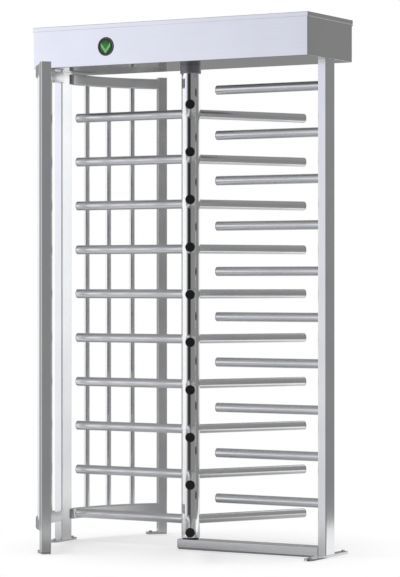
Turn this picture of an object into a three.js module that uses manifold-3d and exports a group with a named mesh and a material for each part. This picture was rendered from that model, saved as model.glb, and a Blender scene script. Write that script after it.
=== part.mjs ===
// Full height turnstile: a three-wing rotor turns between a comb of fixed arms and a curved cage,
// under a header box that holds the locking mechanism. Millimetres, +Z up. The origin is on the
// floor under the rotor's axis, +X runs along the header to the comb side, +Y to the back.
import * as THREE from "three";
import { mergeVertices } from "three/addons/utils/BufferGeometryUtils.js";
import Module from "manifold-3d";

const wasm = await Module();
wasm.setup();
const degree = Math.PI / 180;

// Driving dimensions
const overallHeight = 2283;
const headerHeight = 181;
const headerDepth = 420;
const passageRadius = 642; // rotor axis to the inner face of each main post
const columnRadius = 40;
const wingClearance = 57; // rotor arm tips to the main posts
const wingCount = 3;
const restAngle = -60 * degree; // the front wing at rest, from +X
const armCount = 10;
const armRadius = 20;
const lowestRotorArm = 129;
const topCombDrop = 111; // header underside to the top comb arm's axis
const cageSpread = 48 * degree; // left post to each end post of the cage
const seat = 0.3; // gap kept between pieces that touch
const overrun = 5; // how far a cut runs past the face that it opens
const rootOverlap = 1; // how far a welded piece reaches into what carries it

// Sides of the round pieces
const columnSides = 24;
const armSides = 14;
const boreSides = 8;
const smallSides = 12;
const lensSides = 20;
const cornerSteps = 1;
const endSteps = 3;
const railSteps = 4;
const wireSides = 5;

// Tubes, posts and plates
const armWall = 1.5;
const capDepth = 20; // end plug inside an arm
const capEdge = 2.5; // rounding of the plug's rim
const postWidth = 40;
const postDepth = 80;
const postWall = 2;
const postCorner = 4;
const plateThickness = 10;
const rightPlateLength = 360;
const leftPlateLength = 190;
const boltHoleRadius = 7;
const boltInset = 22; // plate end to the anchor hole
const combGap = 92; // column surface to the comb arms' tips
const cageOffset = 10; // cage's middle line outside the posts' inner faces
const railSize = 42; // across the cage's rails and end posts
const railHeight = 44;
const topRailDrop = 7; // post tops to the top rails
const railWall = 2;
const railCorner = 3;
const lowRailBottom = 97;
const cageBarRadius = 12.5;
const cageBarShares = [0.2825, 0.512, 0.738]; // of the spread, from the left post
const cageBarWall = 1.5;
const footReach = 77; // end post's axis to the far end of its foot plate
const footLand = 1.5; // foot plate inside the post's outline, for the weld
const drainRadius = 8;
const beamHeight = 44;
const beamDepth = 80;
const beamWall = 3;
const beamCorner = 4;
const beamOverhang = 5; // beam's free end beyond the column's surface

// Rotor, bearings and mechanism
const columnWall = 3;
const columnFoot = 15; // bush in the column's lower end
const columnTopDrop = 9; // header underside to the column's top
const pivotRadius = 15;
const pivotHeight = 42;
const pivotFlangeRadius = 35;
const pivotFlange = 5.4;
const runningGap = 0.5;
const collarWall = 4;
const collarHeight = 35;
const collarGap = 1.5;
const shaftRadius = 20;
const shaftPlug = 46; // length of the shaft's plug inside the column
const shaftFlange = 3;
const shoulderRadius = 30;
const shoulderHeight = 5.7;
const shaftEnd = 12; // shaft above the gear
const legHeight = 23;
const legRadius = 10;
const mechanismPlate = 8;
const mechanismHalfLength = 185;
const mechanismHalfDepth = 165;
const mechanismCorner = 12;
const legInset = 18;
const bearingFlangeRadius = 50;
const bearingFlange = 8;
const bearingBossRadius = 34;
const bearingHeight = 22;
const wheelRadius = 100;
const wheelThickness = 10;
const notchCount = 12;
const notchDepth = 14;
const notchMouth = 22;
const notchRoot = 16;
const windowCount = 6;
const windowRadius = 14;
const windowPitch = 55;
const gearModule = 5;
const gearTeeth = 30;
const pinionTeeth = 15;
const gearThickness = 10;
const gearHub = 5;
const gearHubRadius = 32;
const gearBacklash = 0.5;
const gearRootLand = 1.25; // root circle to where a flank starts
const pressureAngle = 20 * degree;
const pinionThickness = 14;
const pinionShaftRadius = 6;
const pinionShaftLength = 30;
const damperRadius = 36;
const damperHeight = 22;
const damperNeckRadius = 12;
const pawlThickness = 10;
const pawlWidth = 14;
const pawlReach = 90;
const pawlTail = 60;
const pawlNose = 10;
const pawlNoseTip = 10;
const pawlNoseRoot = 18;
const pawlRest = 4; // nose to the wheel at rest
const pawlBossRadius = 14;
const studRadius = 8;
const studShoulder = 12;
const studTop = 5;
const springWire = 1.2;
const springClear = 1.3;
const springCurls = 4;
const springPitch = 4;
const springSteps = 8;
const magnetRadius = 14;
const magnetLength = 40;
const magnetGap = 10;
const magnetFoot = 28;
const magnetFaceShare = 2 / 3; // of its radius that faces the pawl's tail

// Header box, lid, indicators, lock and electronics
const sheet = 2;
const lidSkirt = 19;
const lidGap = 1;
const lidOverhang = 4; // lid beyond the main posts
const hingeRadius = 3;
const hingePadCount = 3;
const hingePadLength = 60;
const shaftHoleRadius = 30;
const indicatorRadius = 41;
const indicatorBody = 36;
const indicatorFlange = 2.4;
const indicatorLength = 19;
const indicatorX = -306;
const indicatorDrop = 99; // header top to the indicator's axis
const keyX = -208;
const keyInset = 61; // lock's axis behind the header's front wall
const keyRadius = 9;
const keyFlangeRadius = 12;
const keyFlange = 5.7;
const keyLength = 30;
const keyCam = 24;
const keyCamThickness = 3;
const keySlotLength = 10;
const keySlotWidth = 1.6;
const keySlotDepth = 8;
const boardEndGap = 138; // board to the end wall of the header
const boardLength = 230;
const boardWidth = 150;
const boardThickness = 2;
const standoffHeight = 8;
const standoffRadius = 4;
const standoffInset = 9;
const relayCount = 4;
const relaySize = 18;
const terminalHeight = 14;
const terminalDepth = 10;
const supplyEndGap = 153; // power supply to the end wall of the header
const supplyLength = 160;
const supplyWidth = 98;
const supplyHeight = 40;
const finCount = 9;
const finDepth = 5;

// Places worked out from the sizes
const headerBottom = overallHeight - headerHeight;
const rotorReach = passageRadius - wingClearance;
const armPitch = (headerBottom - topCombDrop - lowestRotorArm) / (armCount - 1 / 2);
const combTip = columnRadius + combGap;
const postCentre = passageRadius + postWidth / 2;
const cageRadius = passageRadius + cageOffset;
const postTop = headerBottom - seat;
const topRailBottom = postTop - topRailDrop - railHeight;
const lidHalfLength = passageRadius + postWidth + lidOverhang;
const boxHalfLength = lidHalfLength - sheet - lidGap;
const boardX = boxHalfLength - boardEndGap - boardLength / 2;
const supplyX = supplyEndGap + supplyLength / 2 - boxHalfLength;
const boxFront = -headerDepth / 2 + sheet + lidGap;
const keyY = boxFront + keyInset;
const lidBack = headerDepth / 2 - hingeRadius - lidGap;
const boxBack = lidBack - sheet - lidGap;
const floorOfBox = headerBottom + sheet;
const pivotBase = beamHeight + seat;
const columnBottom = pivotBase + pivotFlange + seat;
const columnTop = headerBottom - columnTopDrop;
const plateBottom = floorOfBox + legHeight;
const plateTop = plateBottom + mechanismPlate;
const bearingBottom = plateTop + seat;
const bearingTop = bearingBottom + bearingHeight;
const shoulderTop = bearingTop + seat + shoulderHeight;
const wheelBottom = shoulderTop + seat;
const wheelTop = wheelBottom + wheelThickness;
const gearBottom = wheelTop + seat + gearHub;
const gearTop = gearBottom + gearThickness;
const pawlX = wheelRadius + pawlRest + pawlNose + pawlWidth / 2;
const pawlY = -pawlReach;
const centreDistance = (gearModule * (gearTeeth + pinionTeeth)) / 2;
const damperTop = bearingBottom + damperHeight;
const pinionBottom = gearBottom - (pinionThickness - gearThickness) / 2;

// Materials
const finish = (color, roughness, metalness) =>
  new THREE.MeshStandardMaterial({ color, roughness, metalness });
const satinSteel = finish(0xc4c6cc, 0.36, 0.9);
const polishedSteel = finish(0xd8dade, 0.12, 1);
const headerSteel = finish(0xe0e1ee, 0.45, 0.7);
const plateSteel = finish(0x9c9ea3, 0.5, 0.8);
const zincSteel = finish(0xb4b6b0, 0.42, 0.85);
const gearSteel = finish(0x77797e, 0.35, 0.9);
const springSteel = finish(0x55575c, 0.3, 0.9);
const blackPlastic = finish(0x121214, 0.4, 0);
const greenLens = finish(0x1f8f2f, 0.2, 0);
const boardGreen = finish(0x1c6b3a, 0.6, 0);
const castAluminium = finish(0xa9abae, 0.5, 0.8);

// Closed mesh to solid: only positions, shared corners merged, no triangle of zero area.
function solid(geometry) {
  const bare = new THREE.BufferGeometry();
  bare.setAttribute("position", geometry.getAttribute("position"));
  if (geometry.index) bare.setIndex(geometry.index);
  const merged = mergeVertices(bare);
  const corners = merged.index.array;
  const kept = [];
  for (let i = 0; i < corners.length; i += 3) {
    const [a, b, c] = [corners[i], corners[i + 1], corners[i + 2]];
    if (a !== b && b !== c && c !== a) kept.push(a, b, c);
  }
  return new wasm.Manifold(
    new wasm.Mesh({
      numProp: 3,
      vertProperties: new Float32Array(merged.attributes.position.array),
      triVerts: new Uint32Array(kept),
    }),
  );
}

// Solid back to a geometry that three.js draws with flat faces.
function geometryOf(body) {
  const mesh = body.getMesh();
  const stride = mesh.numProp;
  const points = new Float32Array((mesh.vertProperties.length / stride) * 3);
  for (let i = 0; i < points.length / 3; i++) {
    points.set(mesh.vertProperties.subarray(i * stride, i * stride + 3), i * 3);
  }
  const indexed = new THREE.BufferGeometry();
  indexed.setAttribute("position", new THREE.BufferAttribute(points, 3));
  indexed.setIndex(new THREE.BufferAttribute(new Uint32Array(mesh.triVerts), 1));
  const flat = indexed.toNonIndexed();
  flat.computeVertexNormals();
  return flat;
}

const join = (bodies) => bodies.reduce((sum, body) => sum.add(body));
const cut = (body, tools) => tools.reduce((rest, tool) => rest.subtract(tool), body);

// Block between two corners.
function block(x0, x1, y0, y1, z0, z1) {
  const box = new THREE.BoxGeometry(x1 - x0, y1 - y0, z1 - z0);
  return solid(box.translate((x0 + x1) / 2, (y0 + y1) / 2, (z0 + z1) / 2));
}

// Revolved body about +Z from a closed outline of [radius, height] pairs, in either direction.
function revolve(outline, sides) {
  const closed = [...outline, outline[0]];
  let area = 0;
  for (let i = 0; i < outline.length; i++) {
    area += closed[i][0] * closed[i + 1][1] - closed[i + 1][0] * closed[i][1];
  }
  const ordered = area > 0 ? closed : closed.reverse();
  const points = ordered.map(([r, z]) => new THREE.Vector2(r, z));
  return solid(new THREE.LatheGeometry(points, sides).rotateX(Math.PI / 2));
}

// Round bar along +Z between two heights.
function bar(radius, z0, z1, sides) {
  return revolve([[0, z0], [radius, z0], [radius, z1], [0, z1]], sides);
}

// Flat outline extruded along +Z between two heights.
function slab(shape, z0, z1, curveSegments) {
  const extruded = new THREE.ExtrudeGeometry(shape, {
    depth: z1 - z0,
    bevelEnabled: false,
    curveSegments,
  });
  return solid(extruded.translate(0, 0, z0));
}

// Rectangle with rounded corners about the origin.
function roundedRectangle(width, depth, corner) {
  const [x, y, r] = [width / 2, depth / 2, corner];
  const shape = new THREE.Shape();
  shape.moveTo(-x + r, -y);
  shape.absarc(x - r, -y + r, r, -Math.PI / 2, 0);
  shape.absarc(x - r, y - r, r, 0, Math.PI / 2);
  shape.absarc(-x + r, y - r, r, Math.PI / 2, Math.PI);
  shape.absarc(-x + r, -y + r, r, Math.PI, 1.5 * Math.PI);
  return shape;
}

// Rectangular tube standing on +Z, open at its top or closed there by a welded cap.
function boxTube(width, depth, wall, corner, z0, z1, capped = false) {
  const outside = slab(roundedRectangle(width, depth, corner), z0, z1, cornerSteps);
  const inside = slab(
    roundedRectangle(width - 2 * wall, depth - 2 * wall, corner - wall),
    z0 - overrun,
    capped ? z1 - wall : z1 + overrun,
    cornerSteps,
  );
  return outside.subtract(inside);
}

// Strip plate along Y with an anchor hole near each end that is named. Its far end is round, and
// its near end is round or, where a post stands over it, square.
function stripPlate(width, y0, y1, holes, roundNear = true) {
  const r = width / 2;
  const shape = new THREE.Shape();
  if (roundNear) {
    shape.absarc(0, y0 + r, r, Math.PI, 2 * Math.PI);
  } else {
    shape.moveTo(-r, y0);
    shape.lineTo(r, y0);
  }
  shape.absarc(0, y1 - r, r, 0, Math.PI);
  const plate = slab(shape, 0, plateThickness, endSteps);
  const tools = holes.map((y) =>
    bar(boltHoleRadius, -overrun, plateThickness + overrun, smallSides).translate([0, y, 0]),
  );
  return cut(plate, tools);
}

// Steel arm along +X with its black end plug: outside and bore are made apart, so that the
// piece that carries the arm can share the bore.
function armOutside(x0, x1) {
  const outline = [
    [0, x0],
    [armRadius, x0],
    [armRadius, x1 - capEdge],
    [armRadius - capEdge, x1],
    [0, x1],
  ];
  return revolve(outline, armSides).rotate([0, 90, 0]);
}

function armBore(x0, x1) {
  return bar(armRadius - armWall, x0, x1 - capDepth, boreSides).rotate([0, 90, 0]);
}

const root = new THREE.Group();
root.name = "full_height_turnstile";
const frame = new THREE.Group();
const rotor = new THREE.Group();
root.add(frame, rotor);

function place(name, body, material, parent, position = [0, 0, 0], turn = 0) {
  const mesh = new THREE.Mesh(geometryOf(body), material);
  mesh.name = name;
  mesh.position.set(...position);
  mesh.rotation.z = turn;
  parent.add(mesh);
  return mesh;
}

const numbered = (stem, index) => stem + "_" + String(index + 1).padStart(2, "0");

// Comb side: right post, its base plate and the fixed arms, welded into one piece.
function addCombPost() {
  const post = boxTube(postWidth, postDepth, postWall, postCorner, plateThickness / 2, postTop);
  const half = rightPlateLength / 2;
  const plate = stripPlate(postWidth, -half, half, [boltInset - half, half - boltInset]);
  const innerFace = postWidth / 2;
  const length = passageRadius - combTip;
  const outside = [];
  const bores = [];
  for (let i = 0; i < armCount; i++) {
    const at = [-innerFace, 0, lowestRotorArm + (i + 1 / 2) * armPitch];
    outside.push(armOutside(-rootOverlap, length).rotate([0, 0, 180]).translate(at));
    bores.push(armBore(-postWall - overrun, length).rotate([0, 0, 180]).translate(at));
  }
  const body = cut(join([post, plate, ...outside]), bores);
  place("comb_post", body, satinSteel, frame, [postCentre, 0, 0]);
}

function addLeftPost() {
  const post = boxTube(postWidth, postDepth, postWall, postCorner, plateThickness / 2, postTop);
  const half = leftPlateLength / 2;
  const plate = stripPlate(postWidth, -half, half, [boltInset - half, half - boltInset]);
  place("left_post", post.add(plate), satinSteel, frame, [-postCentre, 0, 0]);
}

// End post of the cage: square tube with a welded cap and a foot plate that runs under the rail.
function addCagePost(name, side) {
  const half = railSize / 2;
  const base = plateThickness / 2;
  const tube = boxTube(railSize, railSize, railWall, railCorner, base, postTop, true);
  const width = railSize - 2 * footLand;
  const foot = stripPlate(width, footLand - half, footReach, [footReach - boltInset], false);
  const drain = bar(drainRadius, -overrun, plateThickness + overrun, smallSides);
  const body = tube.add(foot).subtract(drain).rotate([0, 0, side > 0 ? 0 : 180]);
  const spoke = new THREE.Group();
  spoke.rotation.z = Math.PI - side * cageSpread;
  frame.add(spoke);
  place(name, body, satinSteel, spoke, [cageRadius, 0, 0]);
}

// Part of a ring about the rotor's axis, extruded between two heights.
function ringSector(inner, outer, a0, a1, z0, z1) {
  const shape = new THREE.Shape();
  shape.absarc(0, 0, outer, a0, a1, false);
  shape.absarc(0, 0, inner, a1, a0, true);
  return slab(shape, z0, z1, railSteps);
}

// Side panel of the cage: two rolled rails and the round bars between them.
function addCagePanel(name, side) {
  const half = railSize / 2;
  const a0 = side > 0 ? Math.PI - cageSpread : Math.PI;
  const a1 = a0 + cageSpread;
  const rails = [lowRailBottom, topRailBottom];
  const hollow = (z) =>
    ringSector(
      cageRadius - half + railWall,
      cageRadius + half - railWall,
      a0,
      a1,
      z + railWall,
      z + railHeight - railWall,
    );
  const rail = (z) => ringSector(cageRadius - half, cageRadius + half, a0, a1, z, z + railHeight);
  const outside = rails.map(rail);
  const hollows = rails.map(hollow);
  const barLow = lowRailBottom + railHeight - rootOverlap;
  const barHigh = topRailBottom + rootOverlap;
  for (const share of cageBarShares) {
    const angle = Math.PI - side * share * cageSpread;
    const at = [cageRadius * Math.cos(angle), cageRadius * Math.sin(angle), 0];
    outside.push(bar(cageBarRadius, barLow, barHigh, smallSides).translate(at));
    const bore = cageBarRadius - cageBarWall;
    hollows.push(bar(bore, barLow - railWall, barHigh + railWall, boreSides).translate(at));
  }
  const far = cageRadius + railSize;
  const atLeftPost = block(-far, 0, -postDepth / 2 - seat, postDepth / 2 + seat, 0, overallHeight);
  const atEndPost = block(0, far, -half - seat, half + seat, 0, overallHeight).rotate([
    0,
    0,
    180 - (side * cageSpread) / degree,
  ]);
  const body = cut(join(outside), [...hollows, atLeftPost, atEndPost]);
  place(name, body, satinSteel, frame);
}

// Floor beam that carries the lower pivot: rectangular tube, closed at its free end.
function addBaseBeam() {
  const left = -columnRadius - beamOverhang;
  const right = passageRadius - seat;
  const section = (width, height, corner, length) =>
    slab(roundedRectangle(height, width, corner), 0, length, cornerSteps).rotate([0, 90, 0]);
  const outside = section(beamDepth, beamHeight, beamCorner, right - left);
  const inside = section(
    beamDepth - 2 * beamWall,
    beamHeight - 2 * beamWall,
    beamCorner - beamWall,
    right - left,
  ).translate([beamWall, 0, 0]);
  place("base_beam", outside.subtract(inside), satinSteel, frame, [left, 0, beamHeight / 2]);
}

function addFloorBearing() {
  const outline = [
    [0, pivotBase],
    [pivotFlangeRadius, pivotBase],
    [pivotFlangeRadius, pivotBase + pivotFlange],
    [pivotRadius, pivotBase + pivotFlange],
    [pivotRadius, pivotBase + pivotHeight],
    [0, pivotBase + pivotHeight],
  ];
  place("floor_bearing", revolve(outline, columnSides), blackPlastic, frame);
}

// Sleeve under the header that the column's top turns in.
function addBearingCollar() {
  const bore = columnRadius + collarGap;
  const top = headerBottom - seat;
  const outline = [
    [bore, headerBottom - collarHeight],
    [bore + collarWall, headerBottom - collarHeight],
    [bore + collarWall, top],
    [shaftRadius + collarWall, top],
    [shaftRadius + collarWall, top - collarWall],
    [bore, top - collarWall],
  ];
  place("bearing_collar", revolve(outline, columnSides), plateSteel, frame);
}

// Rotor: polished column with a bush at its foot, and three wings of ten arms.
function addRotorColumn() {
  const bore = columnRadius - columnWall;
  const bush = pivotRadius + runningGap;
  const outline = [
    [bush, columnBottom],
    [columnRadius, columnBottom],
    [columnRadius, columnTop],
    [bore, columnTop],
    [bore, columnBottom + columnFoot],
    [bush, columnBottom + columnFoot],
  ];
  place("rotor_column", revolve(outline, columnSides), polishedSteel, rotor);
}

function addRotorArms() {
  const saddle = bar(columnRadius + seat, -columnRadius, columnRadius, columnSides);
  const arm = cut(armOutside(0, rotorReach), [armBore(-overrun, rotorReach), saddle]);
  const wingNames = ["front", "rear", "left"];
  for (let w = 0; w < wingCount; w++) {
    const wing = new THREE.Group();
    wing.rotation.z = restAngle + (w * 2 * Math.PI) / wingCount;
    rotor.add(wing);
    for (let i = 0; i < armCount; i++) {
      const name = numbered(wingNames[w] + "_wing_arm", i);
      place(name, arm, satinSteel, wing, [0, 0, lowestRotorArm + i * armPitch]);
    }
  }
}

// Head shaft: plug in the column's top, thrust shoulder on the bearing, end above the gear.
function addHeadShaft() {
  const plug = columnRadius - columnWall - seat;
  const outline = [
    [0, columnTop - shaftPlug],
    [plug, columnTop - shaftPlug],
    [plug, columnTop + seat],
    [columnRadius, columnTop + seat],
    [columnRadius, columnTop + seat + shaftFlange],
    [shaftRadius, columnTop + seat + shaftFlange],
    [shaftRadius, bearingTop + seat],
    [shoulderRadius, bearingTop + seat],
    [shoulderRadius, shoulderTop],
    [shaftRadius, shoulderTop],
    [shaftRadius, gearTop + shaftEnd],
    [0, gearTop + shaftEnd],
  ];
  place("head_shaft", revolve(outline, columnSides), gearSteel, rotor);
}

// Lock wheel: disc with a notch every thirty degrees and lightening windows.
function addLockWheel() {
  const shape = new THREE.Shape();
  const mouth = Math.asin(notchMouth / 2 / wheelRadius);
  const rootRadius = wheelRadius - notchDepth;
  const bottom = Math.asin(notchRoot / 2 / rootRadius);
  const pitch = (2 * Math.PI) / notchCount;
  const points = [];
  for (let i = 0; i < notchCount; i++) {
    const a = i * pitch;
    points.push([wheelRadius, a - mouth], [rootRadius, a - bottom]);
    points.push([rootRadius, a + bottom], [wheelRadius, a + mouth]);
    points.push([wheelRadius, a + pitch / 2]);
  }
  points.forEach(([r, a], i) => {
    const step = i ? "lineTo" : "moveTo";
    shape[step](r * Math.cos(a), r * Math.sin(a));
  });
  const disc = slab(shape, wheelBottom, wheelTop, 1);
  const tools = [bar(shaftRadius + runningGap, wheelBottom - overrun, wheelTop + overrun, columnSides)];
  for (let i = 0; i < windowCount; i++) {
    const a = ((i + 1 / 2) * 2 * Math.PI) / windowCount;
    const window = bar(windowRadius, wheelBottom - overrun, wheelTop + overrun, boreSides);
    tools.push(window.translate([windowPitch * Math.cos(a), windowPitch * Math.sin(a), 0]));
  }
  place("lock_wheel", cut(disc, tools), gearSteel, rotor);
}

// Involute gear outline about the origin, with its first tooth or gap on the given angle.
function gearShape(teeth, firstTooth) {
  const pitchRadius = (gearModule * teeth) / 2;
  const baseRadius = pitchRadius * Math.cos(pressureAngle);
  const tip = pitchRadius + gearModule;
  const dedendumShare = 1.25;
  const rootRadius = pitchRadius - dedendumShare * gearModule;
  const involute = (r) => {
    const t = Math.sqrt(Math.max(r / baseRadius, 1) ** 2 - 1);
    return t - Math.atan(t);
  };
  const halfTooth = (Math.PI * gearModule) / 4 - gearBacklash / 2;
  const halfAt = (r) => halfTooth / pitchRadius + involute(pitchRadius) - involute(r);
  const low = Math.max(baseRadius, rootRadius + gearRootLand);
  const flank = [rootRadius, low, pitchRadius, tip];
  const shape = new THREE.Shape();
  for (let i = 0; i < teeth; i++) {
    const centre = firstTooth + (i * 2 * Math.PI) / teeth;
    const rising = flank.map((r) => [r, centre - halfAt(r)]);
    const falling = [...flank].reverse().map((r) => [r, centre + halfAt(r)]);
    [...rising, ...falling].forEach(([r, a], k) => {
      const step = i + k ? "lineTo" : "moveTo";
      shape[step](r * Math.cos(a), r * Math.sin(a));
    });
  }
  return shape;
}

function addDamperGear() {
  const gear = slab(gearShape(gearTeeth, Math.PI / 2), gearBottom, gearTop, 1);
  const hub = bar(gearHubRadius, wheelTop + seat, gearBottom + rootOverlap, columnSides);
  const bore = bar(shaftRadius + runningGap, wheelTop - overrun, gearTop + overrun, columnSides);
  place("damper_gear", gear.add(hub).subtract(bore), gearSteel, rotor);
}

// Pinion that turns the rotary damper: its gap meets the gear's first tooth.
function addDamperPinion() {
  const phase = -Math.PI / 2 + Math.PI / pinionTeeth;
  const teeth = slab(gearShape(pinionTeeth, phase), pinionBottom, pinionBottom + pinionThickness, 1);
  const shaft = bar(
    pinionShaftRadius,
    pinionBottom - pinionShaftLength,
    pinionBottom + rootOverlap,
    smallSides,
  );
  place("damper_pinion", teeth.add(shaft), gearSteel, root, [0, centreDistance, 0]);
}

function addRotaryDamper() {
  const bore = pinionShaftRadius + runningGap;
  const floor = pinionBottom - pinionShaftLength - seat;
  const outline = [
    [0, bearingBottom],
    [damperRadius, bearingBottom],
    [damperRadius, damperTop],
    [damperNeckRadius, damperTop],
    [damperNeckRadius, pinionBottom - seat],
    [bore, pinionBottom - seat],
    [bore, floor],
    [0, floor],
  ];
  place("rotary_damper", revolve(outline, lensSides), castAluminium, frame, [0, centreDistance, 0]);
}

// Steel plate on four legs that carries the bearing, pawls, magnets and damper.
function addMechanismPlate() {
  const outline = roundedRectangle(2 * mechanismHalfLength, 2 * mechanismHalfDepth, mechanismCorner);
  const pieces = [slab(outline, plateBottom, plateTop, cornerSteps)];
  for (const sx of [-1, 1]) {
    for (const sy of [-1, 1]) {
      const at = [sx * (mechanismHalfLength - legInset), sy * (mechanismHalfDepth - legInset), 0];
      const leg = bar(legRadius, floorOfBox + seat, plateBottom + rootOverlap, smallSides);
      pieces.push(leg.translate(at));
    }
    const shoulder = bar(studShoulder, plateTop - rootOverlap, wheelBottom - seat, smallSides);
    const pin = bar(studRadius, wheelBottom - seat - rootOverlap, wheelTop + studTop, smallSides);
    pieces.push(shoulder.add(pin).translate([sx * pawlX, pawlY, 0]));
  }
  const hole = bar(shaftRadius + collarWall, plateBottom - overrun, plateTop + overrun, columnSides);
  place("mechanism_plate", join(pieces).subtract(hole), zincSteel, frame);
}

function addUpperBearing() {
  const bore = shaftRadius + runningGap;
  const outline = [
    [bore, bearingBottom],
    [bearingFlangeRadius, bearingBottom],
    [bearingFlangeRadius, bearingBottom + bearingFlange],
    [bearingBossRadius, bearingBottom + bearingFlange],
    [bearingBossRadius, bearingTop],
    [bore, bearingTop],
  ];
  place("upper_bearing", revolve(outline, columnSides), castAluminium, frame);
}

// Locking pawl: swings about its stud, nose to the wheel's notch and tail to the magnet.
function addPawl(name, side) {
  const half = pawlWidth / 2;
  const tip = half + pawlNose;
  const points = [
    [-half, -pawlTail],
    [half, -pawlTail],
    [half, pawlReach + pawlNoseRoot / 2],
    [-half, pawlReach + pawlNoseRoot / 2],
    [-tip, pawlReach + pawlNoseTip / 2],
    [-tip, pawlReach - pawlNoseTip / 2],
    [-half, pawlReach - pawlNoseRoot / 2],
  ].map(([x, y]) => new THREE.Vector2(side * x, y));
  const blade = slab(new THREE.Shape(points), wheelBottom, wheelBottom + pawlThickness, 1);
  const boss = bar(pawlBossRadius, wheelBottom, wheelBottom + pawlThickness, lensSides);
  const bore = bar(studRadius + runningGap, wheelBottom - overrun, wheelTop + overrun, smallSides);
  place(name, blade.add(boss).subtract(bore), zincSteel, root, [side * pawlX, pawlY, 0]);
}

// Return spring round each pawl's stud: one unbroken coil.
function addPawlSpring(name, side) {
  const radius = studShoulder + springClear + springWire;
  const base = plateTop + seat + springWire;
  class Coil extends THREE.Curve {
    getPoint(t, target = new THREE.Vector3()) {
      const a = t * springCurls * 2 * Math.PI;
      const rise = springPitch * springCurls * t;
      return target.set(radius * Math.cos(a), side * radius * Math.sin(a), base + rise);
    }
  }
  const path = new Coil();
  const corner = (i) => (i * 2 * Math.PI) / wireSides;
  const section = new THREE.Shape(
    Array.from({ length: wireSides }, (_, i) =>
      new THREE.Vector2(Math.cos(corner(i)), Math.sin(corner(i))).multiplyScalar(springWire),
    ),
  );
  const steps = springSteps * springCurls;
  const wire = new THREE.ExtrudeGeometry(section, { steps, bevelEnabled: false, extrudePath: path });
  place(name, solid(wire), springSteel, frame, [side * pawlX, pawlY, 0]);
  return path.getPoints(steps);
}

// Least gap of a coil to itself, between points at least half a turn apart.
function leastGap(points) {
  let least = Infinity;
  points.forEach((a, i) =>
    points.slice(i + springSteps / 2).forEach((b) => {
      least = Math.min(least, a.distanceTo(b) - 2 * springWire);
    }),
  );
  return least;
}

// Pull magnet beside each pawl's tail, on its own foot.
function addMagnet(name, side) {
  const face = pawlX + pawlWidth / 2 + magnetGap;
  const y = pawlY - pawlTail + magnetRadius * magnetFaceShare;
  const z = wheelBottom + pawlThickness / 2;
  const coil = bar(magnetRadius, 0, magnetLength, lensSides)
    .rotate([0, 90 * side, 0])
    .translate([side * face, y, z]);
  const near = face + magnetLength / 2 - magnetFoot / 2;
  const [x0, x1] = side > 0 ? [near, near + magnetFoot] : [-near - magnetFoot, -near];
  const foot = block(x0, x1, y - magnetRadius / 2, y + magnetRadius / 2, plateTop + seat, z);
  place(name, coil.add(foot), blackPlastic, frame);
}

// Header box: folded sheet tray with the openings for shaft, lock and indicators, and the fixed
// half of the lid's hinge along its back edge.
function addHeaderHousing() {
  const top = overallHeight - sheet - seat;
  const tray = block(-boxHalfLength, boxHalfLength, boxFront, boxBack, headerBottom, top);
  const room = block(
    -boxHalfLength + sheet,
    boxHalfLength - sheet,
    boxFront + sheet,
    boxBack - sheet,
    floorOfBox,
    top + overrun,
  );
  const shaftHole = bar(shaftHoleRadius, headerBottom - overrun, floorOfBox + overrun, lensSides);
  const keyHole = bar(keyRadius + runningGap, headerBottom - overrun, floorOfBox + overrun, smallSides);
  const lensHole = bar(indicatorBody + runningGap, -headerDepth, headerDepth, lensSides)
    .rotate([90, 0, 0])
    .translate([indicatorX, 0, overallHeight - indicatorDrop]);
  const hingeY = headerDepth / 2 - hingeRadius;
  const hingeZ = overallHeight - lidSkirt - seat - hingeRadius;
  const rod = bar(hingeRadius, -boxHalfLength, boxHalfLength, smallSides)
    .rotate([0, 90, 0])
    .translate([0, hingeY, hingeZ]);
  const pads = [];
  for (let i = 0; i < hingePadCount; i++) {
    const x = ((i + 1 / 2) / hingePadCount) * 2 * boxHalfLength - boxHalfLength;
    const [x0, x1] = [x - hingePadLength / 2, x + hingePadLength / 2];
    const [z0, z1] = [hingeZ - hingeRadius / 3, hingeZ + hingeRadius / 3];
    pads.push(block(x0, x1, boxBack - sheet / 2, hingeY, z0, z1));
  }
  const walls = cut(tray, [room, shaftHole, keyHole.translate([keyX, keyY, 0]), lensHole]);
  place("header_housing", join([walls, rod, ...pads]), headerSteel, frame);
}

function addHeaderLid() {
  const low = overallHeight - lidSkirt;
  const front = -headerDepth / 2;
  const cover = block(-lidHalfLength, lidHalfLength, front, lidBack, low, overallHeight);
  const room = block(
    -lidHalfLength + sheet,
    lidHalfLength - sheet,
    front + sheet,
    lidBack - sheet,
    low - overrun,
    overallHeight - sheet,
  );
  place("header_lid", cover.subtract(room), headerSteel, root);
}

// Round status indicator: bezel flange outside the wall, body through it.
function addIndicator(name, side) {
  const wall = side < 0 ? -boxFront : boxBack;
  const outline = [
    [0, wall - indicatorLength],
    [indicatorBody, wall - indicatorLength],
    [indicatorBody, wall + seat],
    [indicatorRadius, wall + seat],
    [indicatorRadius - indicatorFlange / 2, wall + indicatorFlange],
    [0, wall + indicatorFlange],
  ];
  const body = revolve(outline, lensSides).rotate([-90 * side, 0, 0]);
  place(name, body, greenLens, frame, [indicatorX, 0, overallHeight - indicatorDrop]);
}

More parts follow.
